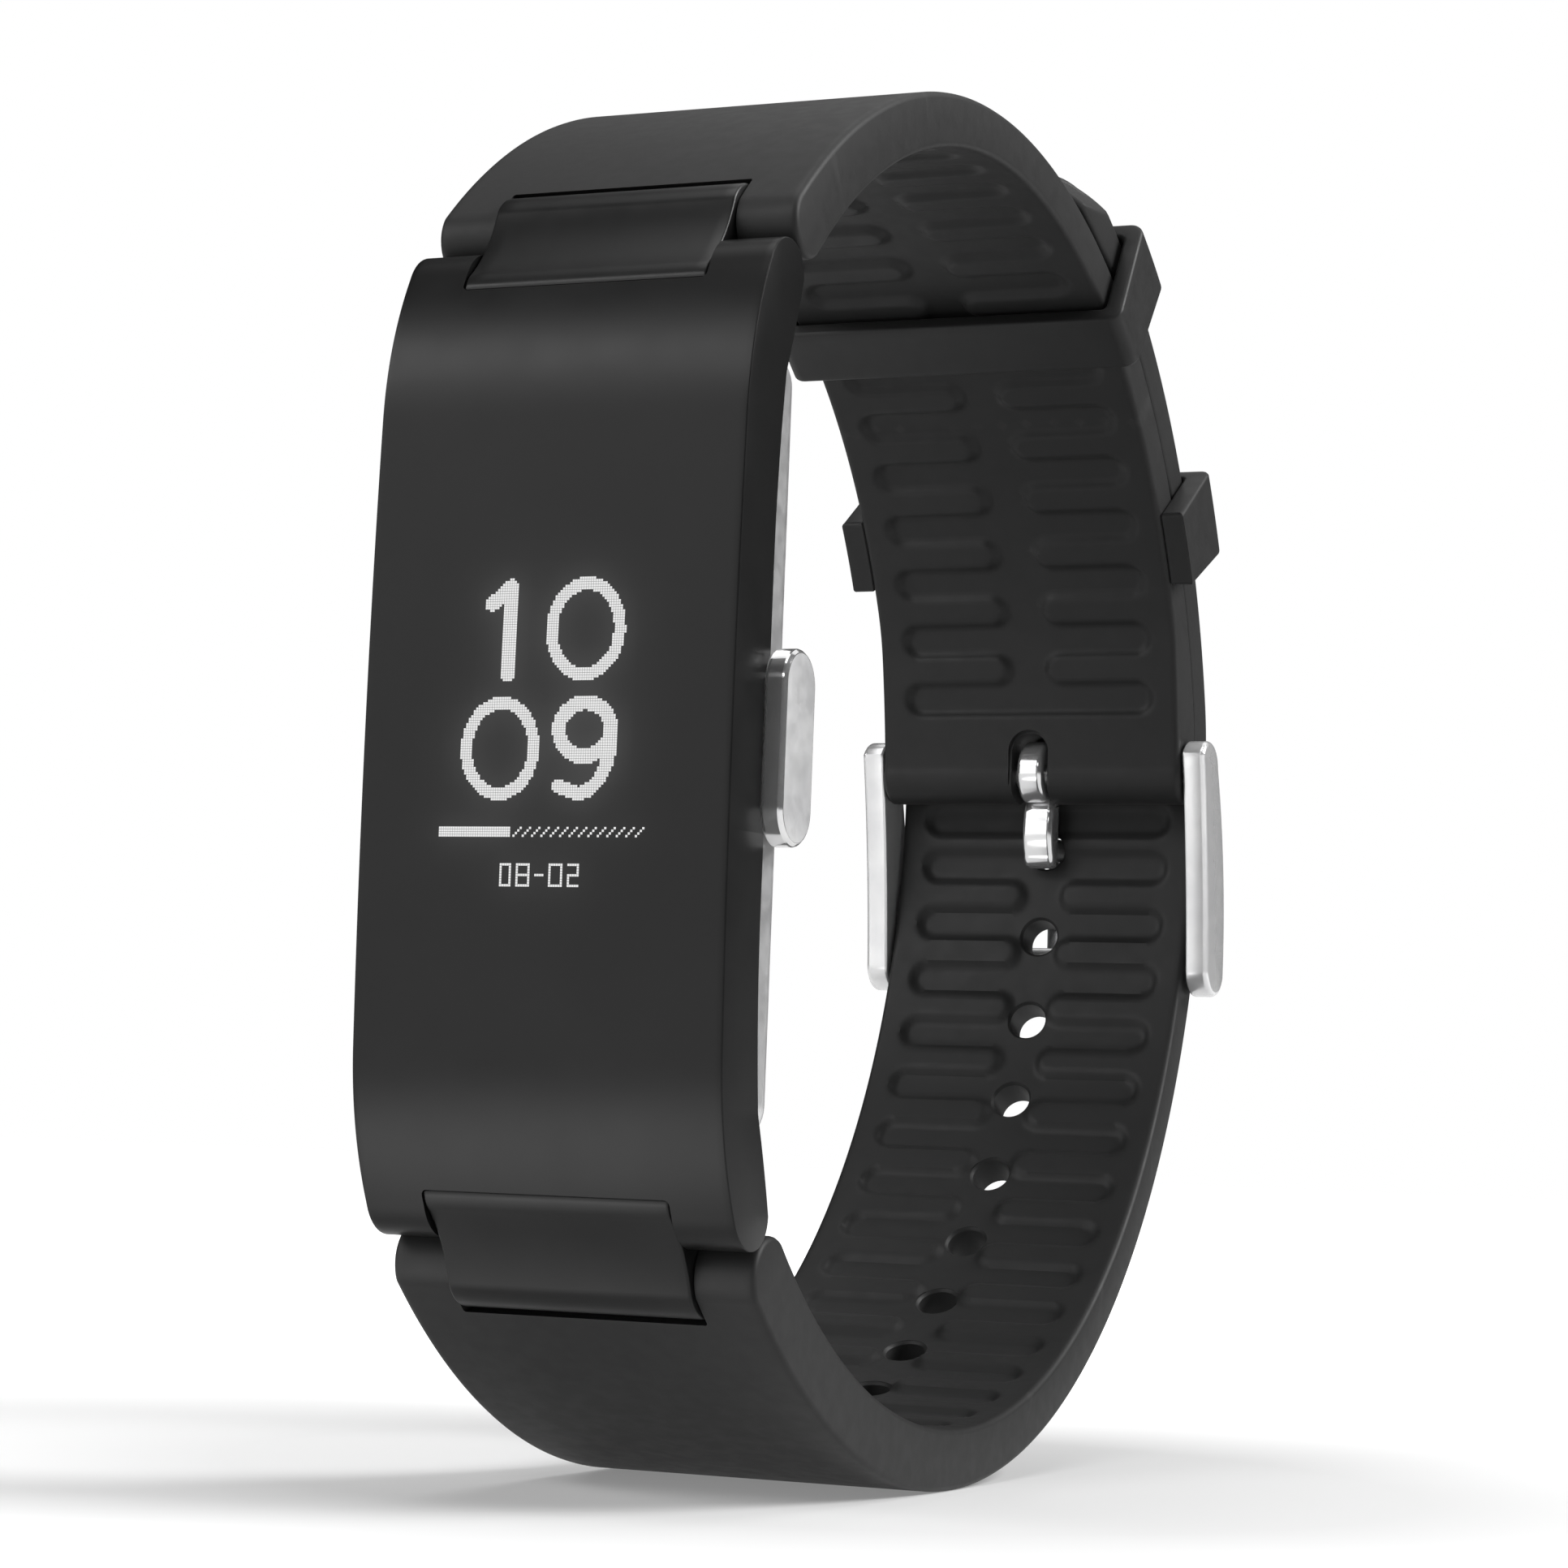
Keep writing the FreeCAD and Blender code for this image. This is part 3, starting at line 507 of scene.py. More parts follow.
def make_light():
    """White room seen by the camera; a dimmer one with light cards lights the band."""
    world = bpy.data.worlds.new("studio")
    bpy.context.scene.world = world
    world.use_nodes = True
    tree = world.node_tree
    room = tree.nodes["Background"]
    room.inputs["Color"].default_value = (*grey(ROOM_LIGHT), 1)
    seen = tree.nodes.new("ShaderNodeBackground")
    seen.inputs["Color"].default_value = (1, 1, 1, 1)
    rays = tree.nodes.new("ShaderNodeLightPath")
    mix = tree.nodes.new("ShaderNodeMixShader")
    tree.links.new(rays.outputs["Is Camera Ray"], mix.inputs["Fac"])
    tree.links.new(room.outputs["Background"], mix.inputs[1])
    tree.links.new(seen.outputs["Background"], mix.inputs[2])
    tree.links.new(mix.outputs["Shader"], tree.nodes["World Output"].inputs["Surface"])
    card("front_card", -34, 10, 0.6, 0.3, 1.55)
    card("brow_card", -24, 33, 0.9, 0.12, 6.6)
    card("top_card", 0, 84, 0.5, 0.4, 2.4)
    card("back_card", 180, 55, 0.5, 0.3, 1.0)
    card("side_card", 110, 35, 0.3, 0.3, 16.0)
    card("rear_card", 150, 12, 0.4, 0.4, 0.05)
    bpy.context.scene.view_settings.view_transform = "Standard"


# ---------------------------------------------------------------- strap lines
CONTACT = 35.63
WRAP_CENTRE = (28.57, -0.71)
UPPER_INNER = CONTACT - 2.45
LOWER_INNER = CONTACT + 0.14
LOWER_OUTER = LOWER_INNER + 2.3
WRAP_LOW = 14.3
TAIL_ANGLE = 71.0
BAR_Y, BAR_Z, EAR = 6.2, 23.45, 1.6
NOTCH_RADIUS, NOTCH_HALF = 2.15, 6.05
BOSS, PIN_BORE = 1.6, 0.71
SLOT_HALF, SLOT_RISE = 1.1, 1.3
EDGE_ROUND, MESH_STEP = 0.3, 0.21
STRAP_HALF, LOWER_HALF = 9.0, 8.93
HOLE_RADIUS, HOLE_PITCH = 1.05, 5.06


def wrap_point(radius, angle):
    return np.array(WRAP_CENTRE) + radius * turn(angle)


def chain(radius, angle, way, arcs):
    """Line of tangent arcs that leave the wrap circle at an angle, in rising or falling angles."""
    here, out = wrap_point(radius, angle), []
    for arc_radius, sweep in arcs:
        centre = here - arc_radius * turn(angle)
        out.append(arc(centre, arc_radius, angle, angle + way * sweep))
        angle += way * sweep
        here = centre + arc_radius * turn(angle)
    return path(*out), angle


def ear_end(sign):
    reach = EAR * sin(radians(45))
    return np.array([BAR_Y - reach, sign * (BAR_Z - reach)])


def strap_round(start, through, end, half):
    """Half of the rounded end of a strap: from its middle point to one face."""
    points = arc_through(start, through, end, 41)
    return points[20::-1] if half == "start" else points[20:]


def upper_sides():
    """Outer and inner faces of the upper strap, both from the buckle end to the lug end."""
    outer_end, _ = chain(CONTACT, 51.6, 1, [(23.5, 5.0), (35.45, 77.2)])
    inner_end, _ = chain(UPPER_INNER, 49.5, 1, [(30.6, 53.4), (33.05, 32.2)])
    tip, tip_angle = chain(CONTACT, WRAP_LOW, -1, [(10.0, 7.8), (34.4, 4.2)])
    flare, _ = chain(UPPER_INNER, 25.0, -1, [(12.0, 13.0), (60.0, 6.0)])
    axis = tip[-1] - BOSS * turn(tip_angle)
    low = axis - [0, BOSS]
    ear = (outer_end[-1], ear_end(1), inner_end[-1])
    outer = path(
        strap_round(tip[-1], low, flare[-1], "start"), tip[::-1],
        arc(WRAP_CENTRE, CONTACT, WRAP_LOW, 51.6), outer_end, strap_round(*ear, "start")[::-1])
    inner = path(
        strap_round(tip[-1], low, flare[-1], "end"), flare[::-1],
        arc(WRAP_CENTRE, UPPER_INNER, 25.0, 49.5), inner_end, strap_round(*ear, "end")[::-1])
    return outer, inner, axis


def lower_sides():
    """Inner and outer faces of the lower strap, both from its tail to the lug end."""
    inner_end, _ = chain(LOWER_INNER, WRAP_LOW, -1, [(10.0, 7.8), (34.4, 48.5), (32.9, 91.7)])
    outer_end, _ = chain(LOWER_OUTER, WRAP_LOW, -1, [(13.6, 9.8), (38.05, 45.8), (36.05, 91.5)])
    tail = (
        wrap_point(LOWER_INNER, TAIL_ANGLE),
        wrap_point(LOWER_OUTER - 0.75, TAIL_ANGLE - 1.2),
        wrap_point(LOWER_OUTER, TAIL_ANGLE - 4.5))
    ear = (outer_end[-1], ear_end(-1), inner_end[-1])
    inner = path(
        strap_round(*tail, "start"), arc(WRAP_CENTRE, LOWER_INNER, TAIL_ANGLE, WRAP_LOW),
        inner_end, strap_round(*ear, "end")[::-1])
    outer = path(
        strap_round(*tail, "end"), arc(WRAP_CENTRE, LOWER_OUTER, TAIL_ANGLE - 4.5, WRAP_LOW),
        outer_end, strap_round(*ear, "start")[::-1])
    return inner, outer


# ---------------------------------------------------------------- pattern on the straps' inner faces
FINGER_PITCH = HOLE_PITCH * 2 / 3
FINGER_HALF, GAP_HALF = 0.87, 0.81
SPINE_HALF, FINGER_REACH = 1.15, 7.4
PATTERN_DEPTH, PATTERN_EDGE = 0.32, 0.52


def capsule(along, x):
    """Depth inside a full-width groove with round ends, negative outside."""
    return FINGER_HALF - np.hypot(along, np.maximum(np.abs(x) - FINGER_REACH + FINGER_HALF, 0))


def comb(along, x, fingers):
    """Depth inside the spine with its round-ended fingers; along runs from the first finger."""
    last = (fingers - 1) * FINGER_PITCH
    p = np.abs((along + FINGER_PITCH / 2) % FINGER_PITCH - FINGER_PITCH / 2)
    u = np.abs(x)
    outer, inner = FINGER_REACH - FINGER_HALF, SPINE_HALF + GAP_HALF
    inside = np.where(u >= outer, FINGER_HALF - np.hypot(p, u - outer), FINGER_HALF - p)
    root = np.hypot(FINGER_PITCH / 2 - p, np.maximum(inner - u, 0)) - GAP_HALF
    inside = np.where(u <= inner, root, inside)
    inside = np.where(along < 0, capsule(along, x), inside)
    return np.where(along > last, capsule(along - last, x), inside)


def groove(depth_inside):
    t = np.clip(depth_inside / PATTERN_EDGE + 0.5, 0, 1)
    return PATTERN_DEPTH * t * t * (3 - 2 * t)


def strap_mesh(name, outline, half, edge, spacing, widths, relief):
    """Strap between rounded side edges; widths narrows it along its length, relief(i, x) recesses it."""
    normal = outward(outline)
    rings = []
    for x, inset in stations(-half, half, edge, edge, spacing, steps=4):
        across = x * widths / half
        points = outline - normal * (inset + relief(across))[:, None]
        rings.append(np.column_stack([across, points]))
    return loft(name, rings)


def hole_cutter(centre, direction, radius, reach=4.0, flare=0.14):
    """Pin-hole cutter whose rim flares a little where it leaves the inner face."""
    side = np.array([-direction[1], direction[0]])
    rings = []
    profile = [(-1.0, radius + flare), (0.0, radius + flare)]
    profile += [(flare * sin(t), radius + flare * (1 - sin(t)) * 0.9) for t in np.linspace(0.3, pi / 2, 4)]
    profile.append((reach, radius))
    for depth, size in profile:
        middle = np.array(centre) + direction * depth
        angles = np.linspace(0, 2 * pi, 40, endpoint=False)
        yz = middle + np.outer(np.sin(angles) * size, side)
        rings.append(np.column_stack([np.cos(angles) * size, yz]))
    return loft("cutter", rings)


def lug_cutters(sign):
    """Room for the case's tongue between the strap's ears, and the blind holes for the spring bar."""
    centre = (BAR_Y, sign * BAR_Z)
    half = NOTCH_HALF
    cutters = [extrude("cutter", disc(NOTCH_RADIUS, 96, centre), stations(-half, half, 0.12, 0.12, steps=3))]
    for side in (1, -1):
        x0, x1 = sorted((side * (half - 0.5), side * 7.6))
        cutters.append(extrude("cutter", disc(0.42, 24, centre), [(x0, 0), (x1, 0)]))
    return cutters


def slot_cutter(axis, half, depth):
    """Round-topped cutter for the prong's slot, from in front of the strap to a depth."""
    top = axis[1] + SLOT_RISE
    side = np.concatenate([arc((0, top), half, 90, 0), [[half, axis[1] - 3.0]]])
    return extrude("cutter", band(side, side * [-1, 1], 40), [(axis[0] - 4, 0), (depth, 0)], across_y)


def make_upper_strap(materials):
    outer, inner, axis = upper_sides()
    count = 430
    outline = band(outer, inner, count)
    run = np.zeros(len(outline))
    inner_points = resample(inner, count)
    along = lengths(inner_points)
    first = np.argmin(np.hypot(*(inner_points - wrap_point(UPPER_INNER, 16.3)).T))
    run[count:] = along[count:0:-1]
    start = along[first]
    fingers = int((along[-1] - 7.0 - start) / FINGER_PITCH)
    on_inner = np.arange(len(outline)) > count

    def relief(x):
        return np.where(on_inner, groove(comb(run - start, x, fingers)), 0.0)

    widths = np.full(len(outline), STRAP_HALF)
    strap = strap_mesh("upper_strap_moulding", outline, STRAP_HALF, EDGE_ROUND, MESH_STEP, widths, relief)
    cutters = lug_cutters(1)
    cutters.append(rod("cutter", PIN_BORE, -9.5, 9.5, *axis, chamfer=0))
    cutters.append(slot_cutter(axis, SLOT_HALF, axis[0] + 4))
    cutters.append(slot_cutter(axis, SLOT_HALF + 0.15, axis[0] - BOSS + 0.22))
    combine(strap, cutters)
    finish(strap, "upper_strap", materials["strap_silicone"], ["upper_strap"])
    return axis


def make_lower_strap(materials):
    inner, outer = lower_sides()
    count = 500
    outline = band(inner, outer, count)
    inner_points = resample(inner, count)
    along = lengths(inner_points)

    def height_run(z):
        """Length along the inner face where the part below the wrap passes a height."""
        back = (inner_points[:, 0] > WRAP_CENTRE[0]) & (inner_points[:, 1] < 12)
        nearest = np.argmin(np.where(back, np.abs(inner_points[:, 1] - z), 1e9))
        return along[nearest]

    run = np.full(len(outline), -1e3)
    run[: count + 1] = along
    bar, start = height_run(1.8), height_run(-0.92)
    fingers = int((along[-1] - 6.0 - start) / FINGER_PITCH)

    def relief(x):
        depth = np.maximum(groove(capsule(run - bar, x)), groove(comb(run - start, x, fingers)))
        return np.where(run > bar - 2.0, depth, 0.0)

    round_radius, round_from = LOWER_HALF + 0.6, 7.5
    tail_run = np.concatenate([along, along[-2:0:-1]])
    beyond = np.maximum(round_from - tail_run, 0)
    widths = np.minimum(LOWER_HALF, np.sqrt(round_radius**2 - beyond**2))
    strap = strap_mesh("lower_strap_moulding", outline, LOWER_HALF, EDGE_ROUND, MESH_STEP, widths, relief)
    cutters = lug_cutters(-1)
    prong_hole = height_run(0.0)
    for where in [prong_hole + k * HOLE_PITCH for k in range(-3, 9)]:
        i = np.searchsorted(along, where)
        share = (where - along[i - 1]) / (along[i] - along[i - 1])
        centre = inner_points[i - 1] * (1 - share) + inner_points[i] * share
        tangent = inner_points[i + 3] - inner_points[i - 3]
        direction = np.array([tangent[1], -tangent[0]]) / np.linalg.norm(tangent)
        if direction @ (centre - WRAP_CENTRE) < 0:
            direction = -direction
        sunk = 0.0 if where < bar else PATTERN_DEPTH
        cutters.append(hole_cutter(centre + direction * sunk, direction, HOLE_RADIUS))
    combine(strap, cutters)
    finish(strap, None, materials["strap_silicone"], ["lower_strap"])
    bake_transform(strap)
    i = np.searchsorted(along, prong_hole)
    return inner_points[i]


# ---------------------------------------------------------------- keepers
def on_wrap(points, angle):
    """An outline in x and radius, at an angle in degrees about the wrap's centre."""
    yz = np.array(WRAP_CENTRE) + np.outer(points[:, 1], turn(angle))
    return np.column_stack([points[:, 0], yz])


def make_fixed_keeper(materials):
    foot, room, wall_x = UPPER_INNER + 0.1, LOWER_OUTER + 0.16, STRAP_HALF + 1.3
    outer_r, corner = room + 0.85, 0.5
    middle_x = (STRAP_HALF + wall_x) / 2
    corner_arc = arc((wall_x - corner, outer_r - corner), corner, 0, 90, 0.08)
    outer_half = path([[middle_x, foot], [wall_x, foot]], corner_arc, [[0, outer_r]])
    room_arc = arc((STRAP_HALF - 0.3, room - 0.3), 0.3, 0, 90, 0.08)
    inner_half = path([[middle_x, foot], [STRAP_HALF - 0.02, foot]], room_arc, [[0, room]])
    outer = path(outer_half, outer_half[::-1] * [-1, 1])
    inner = path(inner_half, inner_half[::-1] * [-1, 1])
    low, high, edge, radius = 27.3, 34.7, 0.22, 36.5
    turn_mm = 1 / radians(1) / radius
    places = stations(0, radians(high - low) * radius, edge, edge, 0.4)
    places = [(low + a * turn_mm, i) for a, i in places]
    keeper = extrude("fixed_keeper_loop", band(outer, inner, 150), places, on_wrap)
    finish(keeper, "upper_strap", materials["keeper_silicone"], ["fixed_keeper"])


def make_free_keeper(materials):
    gap, wall = 0.16, 0.85
    inner_low, inner_high = UPPER_INNER - gap - 0.1, LOWER_OUTER + gap
    outer_low, outer_high = inner_low - wall, inner_high + wall
    inner_half, outer_half = STRAP_HALF + gap, STRAP_HALF + gap + 1.0
    middle_in = np.array([0, (inner_low + inner_high) / 2])
    middle_out = np.array([0, (outer_low + outer_high) / 2])
    low, high, edge = 53.0, 59.6, 0.22
    per_degree = radians(1) * 36.0

    def outer_loop(inset):
        loop = rounded_box(outer_half - inset, (outer_high - outer_low) / 2 - inset, 0.8 - inset)
        return loop + middle_out

    def inner_loop(inset):
        return rounded_box(inner_half + inset, (inner_high - inner_low) / 2 + inset, 0.3 + inset) + middle_in

    span = (high - low) * per_degree
    places = stations(0, span, edge, edge, 0.4)
    rings = [on_wrap(outer_loop(inset), low + a / per_degree) for a, inset in places]
    rings += [on_wrap(inner_loop(inset), low + a / per_degree) for a, inset in places[::-1]]
    keeper = loft("free_keeper_loop", rings, closed=True)
    finish(keeper, "free_keeper", materials["keeper_silicone"], ["free_keeper"])


# ---------------------------------------------------------------- case
COVER_HALF = 9.0
FACE_RADIUS = 360.0
SHOULDER_START, SHOULDER_RADIUS = 14.0, 16.0
PIXEL = 0.114


def face_depth(z):
    return FACE_RADIUS - np.sqrt(FACE_RADIUS**2 - np.square(z))


def shoulder_depth(z):
    tilt = SHOULDER_START / FACE_RADIUS
    centre_z = SHOULDER_START - SHOULDER_RADIUS * sin(tilt)
    centre_y = face_depth(SHOULDER_START) + SHOULDER_RADIUS * cos(tilt)
    return centre_y - sqrt(SHOULDER_RADIUS**2 - (z - centre_z) ** 2)


def cover_sides():
    """Front and rear lines of the cover from its upper end to its lower end."""
    end_z = 20.9
    end = (shoulder_depth(end_z), end_z)
    tip, rear = (4.2, 22.25), (5.8, 20.7)
    mid_z = (SHOULDER_START + end_z) / 2
    front = path(
        arc_through(tip, (3.05, 21.95), end),
        arc_through(end, (shoulder_depth(mid_z), mid_z), (face_depth(SHOULDER_START), SHOULDER_START), 60),
        arc_through((face_depth(SHOULDER_START), SHOULDER_START), (face_depth(7.0), 7.0), (0, 0), 60))
    back = path(
        arc_through(tip, (5.32, 21.82), rear), arc_through(rear, (5.25, 18.9), (4.3, 16.3)),
        arc_through((4.3, 16.3), (3.92, 12.6), (3.73, 8.0)), [[3.73, 0.0]])
    flip = np.array([1, -1])
    return path(front, front[::-1] * flip), path(back, back[::-1] * flip)


def plate(half_x, half_z, y0, y1, corner):
    return extrude("cutter", rounded_box(half_x, half_z, corner), [(y0, 0), (y1, 0)], across_y)


def block(half_x, y0, y1, z0, z1):
    outline = rounded_box(half_x, (z1 - z0) / 2, 0.25) + [0, (z0 + z1) / 2]
    return extrude("cutter", outline, [(y0, 0), (y1, 0)], across_y)


def digit_strokes():
    """Lines of the big digits, as (points, half width of the stroke)."""
    strokes = []
    for x, z in ((1.78, 4.43), (-2.15, -0.79)):
        turns = np.linspace(0, 2 * pi, 90)
        strokes.append((np.stack([x + 1.65 * np.cos(turns), z + 2.0 * np.sin(turns)], 1), 0.28))
    strokes.append((np.array([[-1.94, 6.3], [-1.94, 2.45]]), 0.34))
    strokes.append((np.array([[-1.94, 6.35], [-2.85, 5.6]]), 0.34))
    turns = np.linspace(0, 2 * pi, 80)
    loop = np.stack([1.95 + 1.25 * np.cos(turns), 0.02 + 1.17 * np.sin(turns)], 1)
    strokes.append((loop, 0.33))
    swing = np.linspace(0, -pi / 2, 40)
    tail = np.stack([1.7 + 1.55 * np.cos(swing), -0.3 + 2.47 * np.sin(swing)], 1)
    strokes.append((np.concatenate([tail, [[0.75, -2.45]]]), 0.31))
    return strokes


SMALL_DIGITS = {
    "0": ((0.0, 0.0, 1.0, 1.0, 0.0), (0.0, 1.0, 1.0, 0.0, 0.0)),
    "2": ((0.0, 1.0, 1.0, 0.0, 0.0, 1.0), (1.0, 1.0, 0.5, 0.5, 0.0, 0.0)),
    "8": ((0.0, 0.0, 1.0, 1.0, 0.0, 0.0, 1.0), (0.5, 1.0, 1.0, 0.0, 0.0, 0.5, 0.5)),
    "-": ((0.1, 0.9), (0.5, 0.5)),
}


def small_strokes(text, x, z, width, height, pitch):
    """Thin numerals of the date line."""
    strokes = []
    for i, letter in enumerate(text):
        xs, zs = SMALL_DIGITS[letter]
        left = x + i * pitch
        points = np.array([[left + a * width, z + b * height] for a, b in zip(xs, zs)])
        strokes.append(((np.round(points / PIXEL - 0.5) + 0.5) * PIXEL, PIXEL * 0.45))
    return strokes


def stroke_distance(grid_x, grid_z, points):
    best = np.full(grid_x.shape, 1e9)
    for (ax, az), (bx, bz) in zip(points[:-1], points[1:]):
        dx, dz = bx - ax, bz - az
        t = np.clip(((grid_x - ax) * dx + (grid_z - az) * dz) / max(dx * dx + dz * dz, 1e-9), 0, 1)
        best = np.minimum(best, np.hypot(grid_x - ax - t * dx, grid_z - az - t * dz))
    return best


def lit_grid():
    """Grid of display pixels and which of them are lit: hour, minutes, progress bar and date."""
    columns, rows = 96, 132
    xs = (np.arange(columns) - (columns - 1) / 2) * PIXEL
    zs = (np.arange(rows) - (rows - 1) / 2) * PIXEL
    grid_x, grid_z = np.meshgrid(xs, zs)
    lit = np.zeros(grid_x.shape, bool)
    for points, half in digit_strokes() + small_strokes("08-02", -1.9, -6.75, 0.52, 0.9, 0.82):
        lit |= stroke_distance(grid_x, grid_z, points) < half
    bar_row = int(np.argmin(np.abs(zs + 4.66)))
    for row in range(4):
        for column in range(columns):
            x = xs[column]
            solid = -5.0 < x < -1.45
            slanted = x > -1.4 and xs[column - row] < 4.75 and (column - row) % 4 == 0
            lit[bar_row + row, column] |= solid or slanted
    return xs, zs, lit


def make_pixels(xs, zs, lit, materials):
    """Each lit pixel is a tiny tile that follows the curve of the face."""
    half, proud, sunk = PIXEL * 0.44, 0.006, 0.03
    points, faces = [], []
    for row, column in zip(*np.nonzero(lit)):
        base = len(points)
        for dy in (-proud, sunk):
            for sx, sz in ((-1, -1), (1, -1), (1, 1), (-1, 1)):
                z = zs[row] + sz * half
                points.append((xs[column] + sx * half, float(face_depth(z)) + dy, z))
        quads = ((0, 1, 2, 3), (7, 6, 5, 4), (0, 4, 5, 1), (1, 5, 6, 2), (2, 6, 7, 3), (3, 7, 4, 0))
        faces += [tuple(base + k for k in quad) for quad in quads]
    mesh = bpy.data.meshes.new("display_pixels")
    mesh.from_pydata(place(points), [], faces)
    pixels = bpy.data.objects.new("display_pixels", mesh)
    bpy.context.scene.collection.objects.link(pixels)
    mesh.materials.append(materials["pixels"])
    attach(pixels, "case")


def blurred(lit, radius):
    """Lit pixels spread out by a soft disc, as light through the moulding."""
    reach = int(radius * 3)
    weights = np.exp(-0.5 * (np.arange(-reach, reach + 1) / radius) ** 2)
    weights /= weights.sum()
    out = np.pad(lit.astype(float), reach)
    out = np.apply_along_axis(lambda v: np.convolve(v, weights, "same"), 0, out)
    return np.apply_along_axis(lambda v: np.convolve(v, weights, "same"), 1, out), reach


def add_glow(cover, xs, zs, lit):
    """Stores on the cover how much light of the pixels shines through at each point."""
    count = len(cover.data.vertices)
    co = np.zeros(count * 3)
    cover.data.vertices.foreach_get("co", co)
    co = co.reshape(-1, 3) / MM - origin
    glow = np.zeros(count)
    for radius, strength in ((4.5, 0.03), (11.0, 0.05)):
        light, reach = blurred(lit, radius)
        column = np.clip(np.round((co[:, 0] - xs[0]) / PIXEL) + reach, 0, light.shape[1] - 1).astype(int)
        row = np.clip(np.round((co[:, 2] - zs[0]) / PIXEL) + reach, 0, light.shape[0] - 1).astype(int)
        glow += strength * light[row, column]
    glow[co[:, 1] > 0.6] = 0
    attribute = cover.data.attributes.new("glow", "FLOAT_COLOR", "POINT")
    colours = np.column_stack([glow, glow, glow, np.ones(count)])
    attribute.data.foreach_set("color", colours.ravel())


def make_cover(materials):
    front, back = cover_sides()
    outline = band(front, back, 190)
    cover = extrude("front_cover_shell", outline, stations(-COVER_HALF, COVER_HALF, 0.1, 0.1, 0.25, steps=3))
    cutters = [plate(8.55, 17.95, 2.95, 9.0, 2.0), plate(7.5, 17.0, 1.1, 5.0, 1.0)]
    for s in (1, -1):
        cutters.append(block(NOTCH_HALF, 1.95, 8.0, *sorted((s * 16.0, s * 24.0))))
        cutters.append(block(NOTCH_HALF, -1.0, 8.0, *sorted((s * 20.15, s * 24.0))))
    relief = pill(1.8, 4.5) + [4.98, -0.3]
    cutters.append(extrude("cutter", relief, [(8.43, 0), (11.0, 0)]))
    combine(cover, cutters)
    xs, zs, lit = lit_grid()
    add_glow(cover, xs, zs, lit)
    finish(cover, "case", materials["cover_black"], ["front_cover"], crease=28)
    make_pixels(xs, zs, lit, materials)


def make_tongue(name, s, materials):
    """Tongue of one lug: leaves the cover's notch, dips, and wraps over the spring bar."""
    knuckle, tilt = 1.88, radians(150)
    start = (shoulder_depth(20.2) + 0.04, 20.2)
    bulge = (2.36, 21.05)
    axis = np.array([BAR_Y, BAR_Z])
    rise = axis + knuckle * np.array([cos(tilt), sin(tilt)])
    top, rear = axis + knuckle * turn(90), axis + knuckle * turn(0)
    front = path(
        [[2.02, 16.5]], [(2.02, 20.2)], arc_through(start, (2.0, 20.65), bulge, 12),
        arc_through(bulge, (3.36, 22.12), rise, 40), arc_through(rise, axis + knuckle * turn(120), top, 20),
        arc_through(top, axis + knuckle * turn(45), rear, 20))
    rear_line = path(
        [[2.02, 16.5]], [[2.85, 16.5]], [[2.85, 17.9]], [[3.15, 18.15]],
        [[6.3, 18.15]], [[6.6, 20.4]], [rear])
    outline = band(front, rear_line, 90) * [1, s]
    tongue = extrude(name, outline, stations(-5.99, 5.99, 0.14, 0.14, 0.8, steps=4))
    combine(tongue, [rod("cutter", PIN_BORE, -6.5, 6.5, BAR_Y, s * BAR_Z, chamfer=0)])
    finish(tongue, "case", materials["frame_black"], ["mid_frame"])


def make_inner_frame(materials):
    rings = []
    for y in (2.02, 3.15):
        rings.append(across_y(rounded_box(7.4, 16.9, 0.9), y))
    for y in (3.15, 2.02):
        rings.append(across_y(rounded_box(6.3, 15.2, 0.8), y))
    ring = loft("inner_frame", rings, closed=True)
    finish(ring, "case", materials["frame_black"], ["mid_frame"])


def make_button(materials):
    """Pill button: mirror sides, bright chamfer, brushed flat face, and its stem."""
    y, z, chamfer = 4.98, -0.3, 0.16
    half_y, half_z, x0, x1 = 1.5 + chamfer, 4.2 + chamfer, 8.93, 9.95
    profile = [(x0, 0.05), (x0 + 0.05, 0.0), (x1 - chamfer - 0.06, 0.0), (x1 - chamfer + 0.02, 0.03)]
    profile += [(x1 - 0.06, chamfer - 0.06), (x1 - 0.01, chamfer - 0.01), (x1, chamfer + 0.04)]
    rings = []
    for x, inset in profile:
        rings.append(across_x(pill(half_y - inset, half_z - inset, 96) + [y, z], x))
    cap = loft("button_pill", rings)
    combine(cap, [rod("stem", 0.6, 6.72, 9.2, y, z)], "UNION")
    finishes = [materials["button_steel"], materials["button_face"]]
    finish(cap, "button", finishes, ["button_cap"], 20)
    for polygon in cap.data.polygons:
        if polygon.normal.x > 0.99 and polygon.center.x > (x1 - 0.03) * MM:
            polygon.material_index = 1


# ---------------------------------------------------------------- buckle
def crossbar_centre(axis):
    """Centre of the cross-bar, behind and below the buckle's spring bar."""
    return axis[0] + 3.552, axis[1] - 10.327


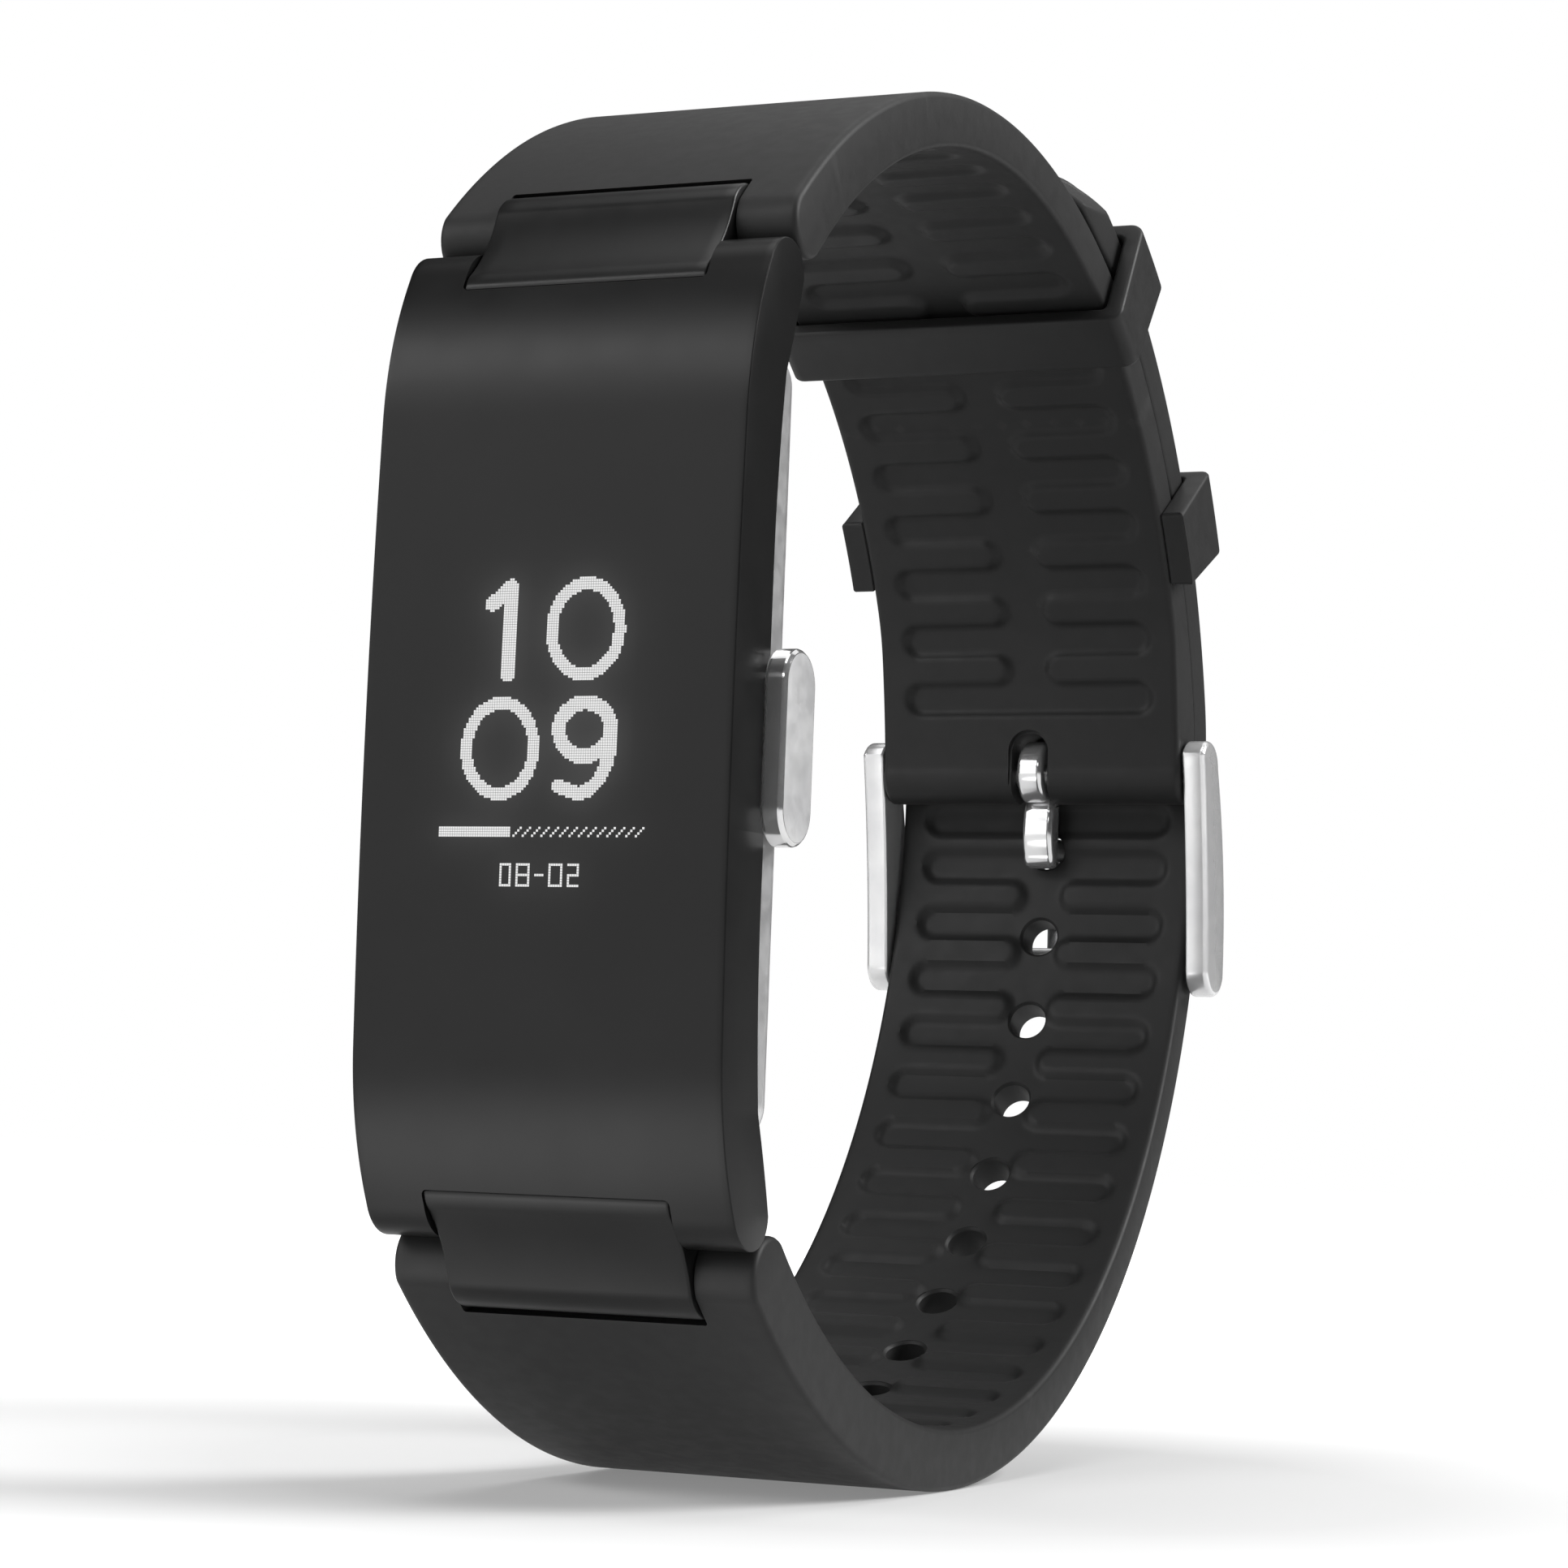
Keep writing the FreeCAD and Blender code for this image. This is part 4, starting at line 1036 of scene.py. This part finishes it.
def make_buckle(materials, axis):
    """Two curved arms on the buckle's spring bar, joined behind the strap by a round cross-bar."""
    y, z = axis
    top_front, top, top_rear = (y - 1.35, z + 1.2), (y - 0.1, z + 2.0), (y + 1.55, z + 0.6)
    low_front, low, low_rear = (y + 0.4, z - 11.2), (y + 1.9, z - 12.4), (y + 3.5, z - 11.3)
    upper_end = arc_through(top_front, top, top_rear, 41)
    lower_end = arc_through(low_front, low, low_rear, 41)
    front_arc = arc_through(top_front, (y - 0.3, z - 4.6), low_front, 80)
    rear_arc = arc_through(top_rear, (y + 3.05, z - 4.9), low_rear, 80)
    front = path(upper_end[20::-1], front_arc, lower_end[:21])
    rear = path(upper_end[20:], rear_arc, lower_end[:19:-1])
    outline = band(front, rear, 110)
    x0, x1 = 9.12, 10.44
    places = stations(x0, x1, 0.16, 0.3, steps=6)
    arms = []
    for side in (1, -1):
        rings = [across_x(outline - outward(outline) * inset, side * x) for x, inset in places]
        arms.append(loft(f"arm{side}", rings))
    buckle = arms[0]
    buckle.name = "buckle_frame_polished"
    bar_y, bar_z = crossbar_centre(axis)
    combine(buckle, [rod("bar", 0.65, -9.42, 9.42, bar_y, bar_z), arms[1]], "UNION")
    holes = [rod("cutter", 0.42, *sorted((s * 8.1, s * 10.25)), y, z, chamfer=0) for s in (1, -1)]
    combine(buckle, holes)
    finish(buckle, "buckle", materials["buckle_steel"], ["buckle_frame"], 40)


def make_prong(materials, axis, hole):
    """Chrome prong: knuckle on the spring bar, shank, neck through the hole, tip on the cross-bar."""
    y, z = axis
    hole_y, hole_z = hole
    front_top, front_low = (y - 0.2, z + 2.0), (y - 0.35, z - 1.5)
    knuckle_front = arc_through(front_top, (y - 1.5, z + 0.25), front_low, 60)
    knuckle_back = arc_through(front_top, (y + 1.25, z + 0.1), front_low, 60)
    knuckle_places = stations(-0.8, 0.8, 0.38, 0.38, steps=8)
    knuckle = extrude("prong_knuckle", band(knuckle_front, knuckle_back, 70), knuckle_places)
    face = hole_y - 0.1
    top, low = (face - 0.55, z - 1.0), (face - 0.25, hole_z - 1.1)
    shank_front = path(
        arc_through(top, (face - 1.2, z - 1.6), (face - 1.35, z - 2.3), 16),
        arc_through((face - 1.35, z - 2.3), (face - 1.4, hole_z + 0.6), (face - 1.1, hole_z - 0.4), 30),
        arc_through((face - 1.1, hole_z - 0.4), (face - 0.8, hole_z - 0.95), low, 16))
    shank_back = path([top], [(face, z - 1.4)], [(face + 0.02, hole_z - 0.6)], [low])
    shank = extrude("shank", band(shank_front, shank_back, 70), stations(-0.92, 0.92, 0.34, 0.34, steps=8))
    bar_y, bar_z = crossbar_centre(axis)
    outer_y, rest = hole_y + 2.3, bar_y + 0.69
    neck = extrude("neck", disc(0.8, 32) + [0, hole_z], [(hole_y - 0.28, 0), (outer_y + 0.3, 0)], across_y)
    peak, end = (outer_y + 0.8, hole_z + 0.8), (rest + 0.5, bar_z - 1.5)
    bend = (rest + 1.05, bar_z + 1.6)
    tip_front = path(
        arc_through(peak, (outer_y + 0.2, hole_z + 0.5), (outer_y + 0.12, hole_z - 0.6), 20),
        [(rest, bar_z + 0.9)], [(rest, bar_z - 0.9)],
        arc_through((rest, bar_z - 0.9), (rest + 0.12, bar_z - 1.35), end, 12))
    tip_back = path(
        arc_through(peak, (outer_y + 1.1, hole_z + 0.3), bend, 30),
        arc_through(bend, (rest + 1.1, bar_z - 0.4), end, 30))
    tip = extrude("tip", band(tip_front, tip_back, 60), stations(-0.7, 0.7, 0.3, 0.3, steps=6))
    combine(knuckle, [shank, neck, tip], "UNION")
    combine(knuckle, [rod("cutter", 0.72, -2, 2, y, z, chamfer=0)])
    finish(knuckle, "prong", materials["prong_chrome"], ["buckle_prong"], 50)


# ---------------------------------------------------------------- CAD nodes that stay
def dress_nodes(materials):
    """Gives every CAD node that is still shown its finish, and merges its doubled points."""
    slots = {part["node"]: part["material_slot"] for part in frame["record"]["subparts"]}
    for name, node in nodes.items():
        if node.hide_render:
            continue
        node.data.materials.clear()
        node.data.materials.append(materials[slots[name]])
        weld = node.modifiers.new("weld", "WELD")
        weld.merge_threshold = 1e-7


make_camera()
materials = make_materials()
make_light()
make_floor()
buckle_axis = make_upper_strap(materials)
prong_hole = make_lower_strap(materials)
make_fixed_keeper(materials)
make_free_keeper(materials)
make_cover(materials)
make_tongue("upper_tongue", 1, materials)
make_tongue("lower_tongue", -1, materials)
make_inner_frame(materials)
make_button(materials)
make_buckle(materials, buckle_axis)
make_prong(materials, buckle_axis, prong_hole)
dress_nodes(materials)
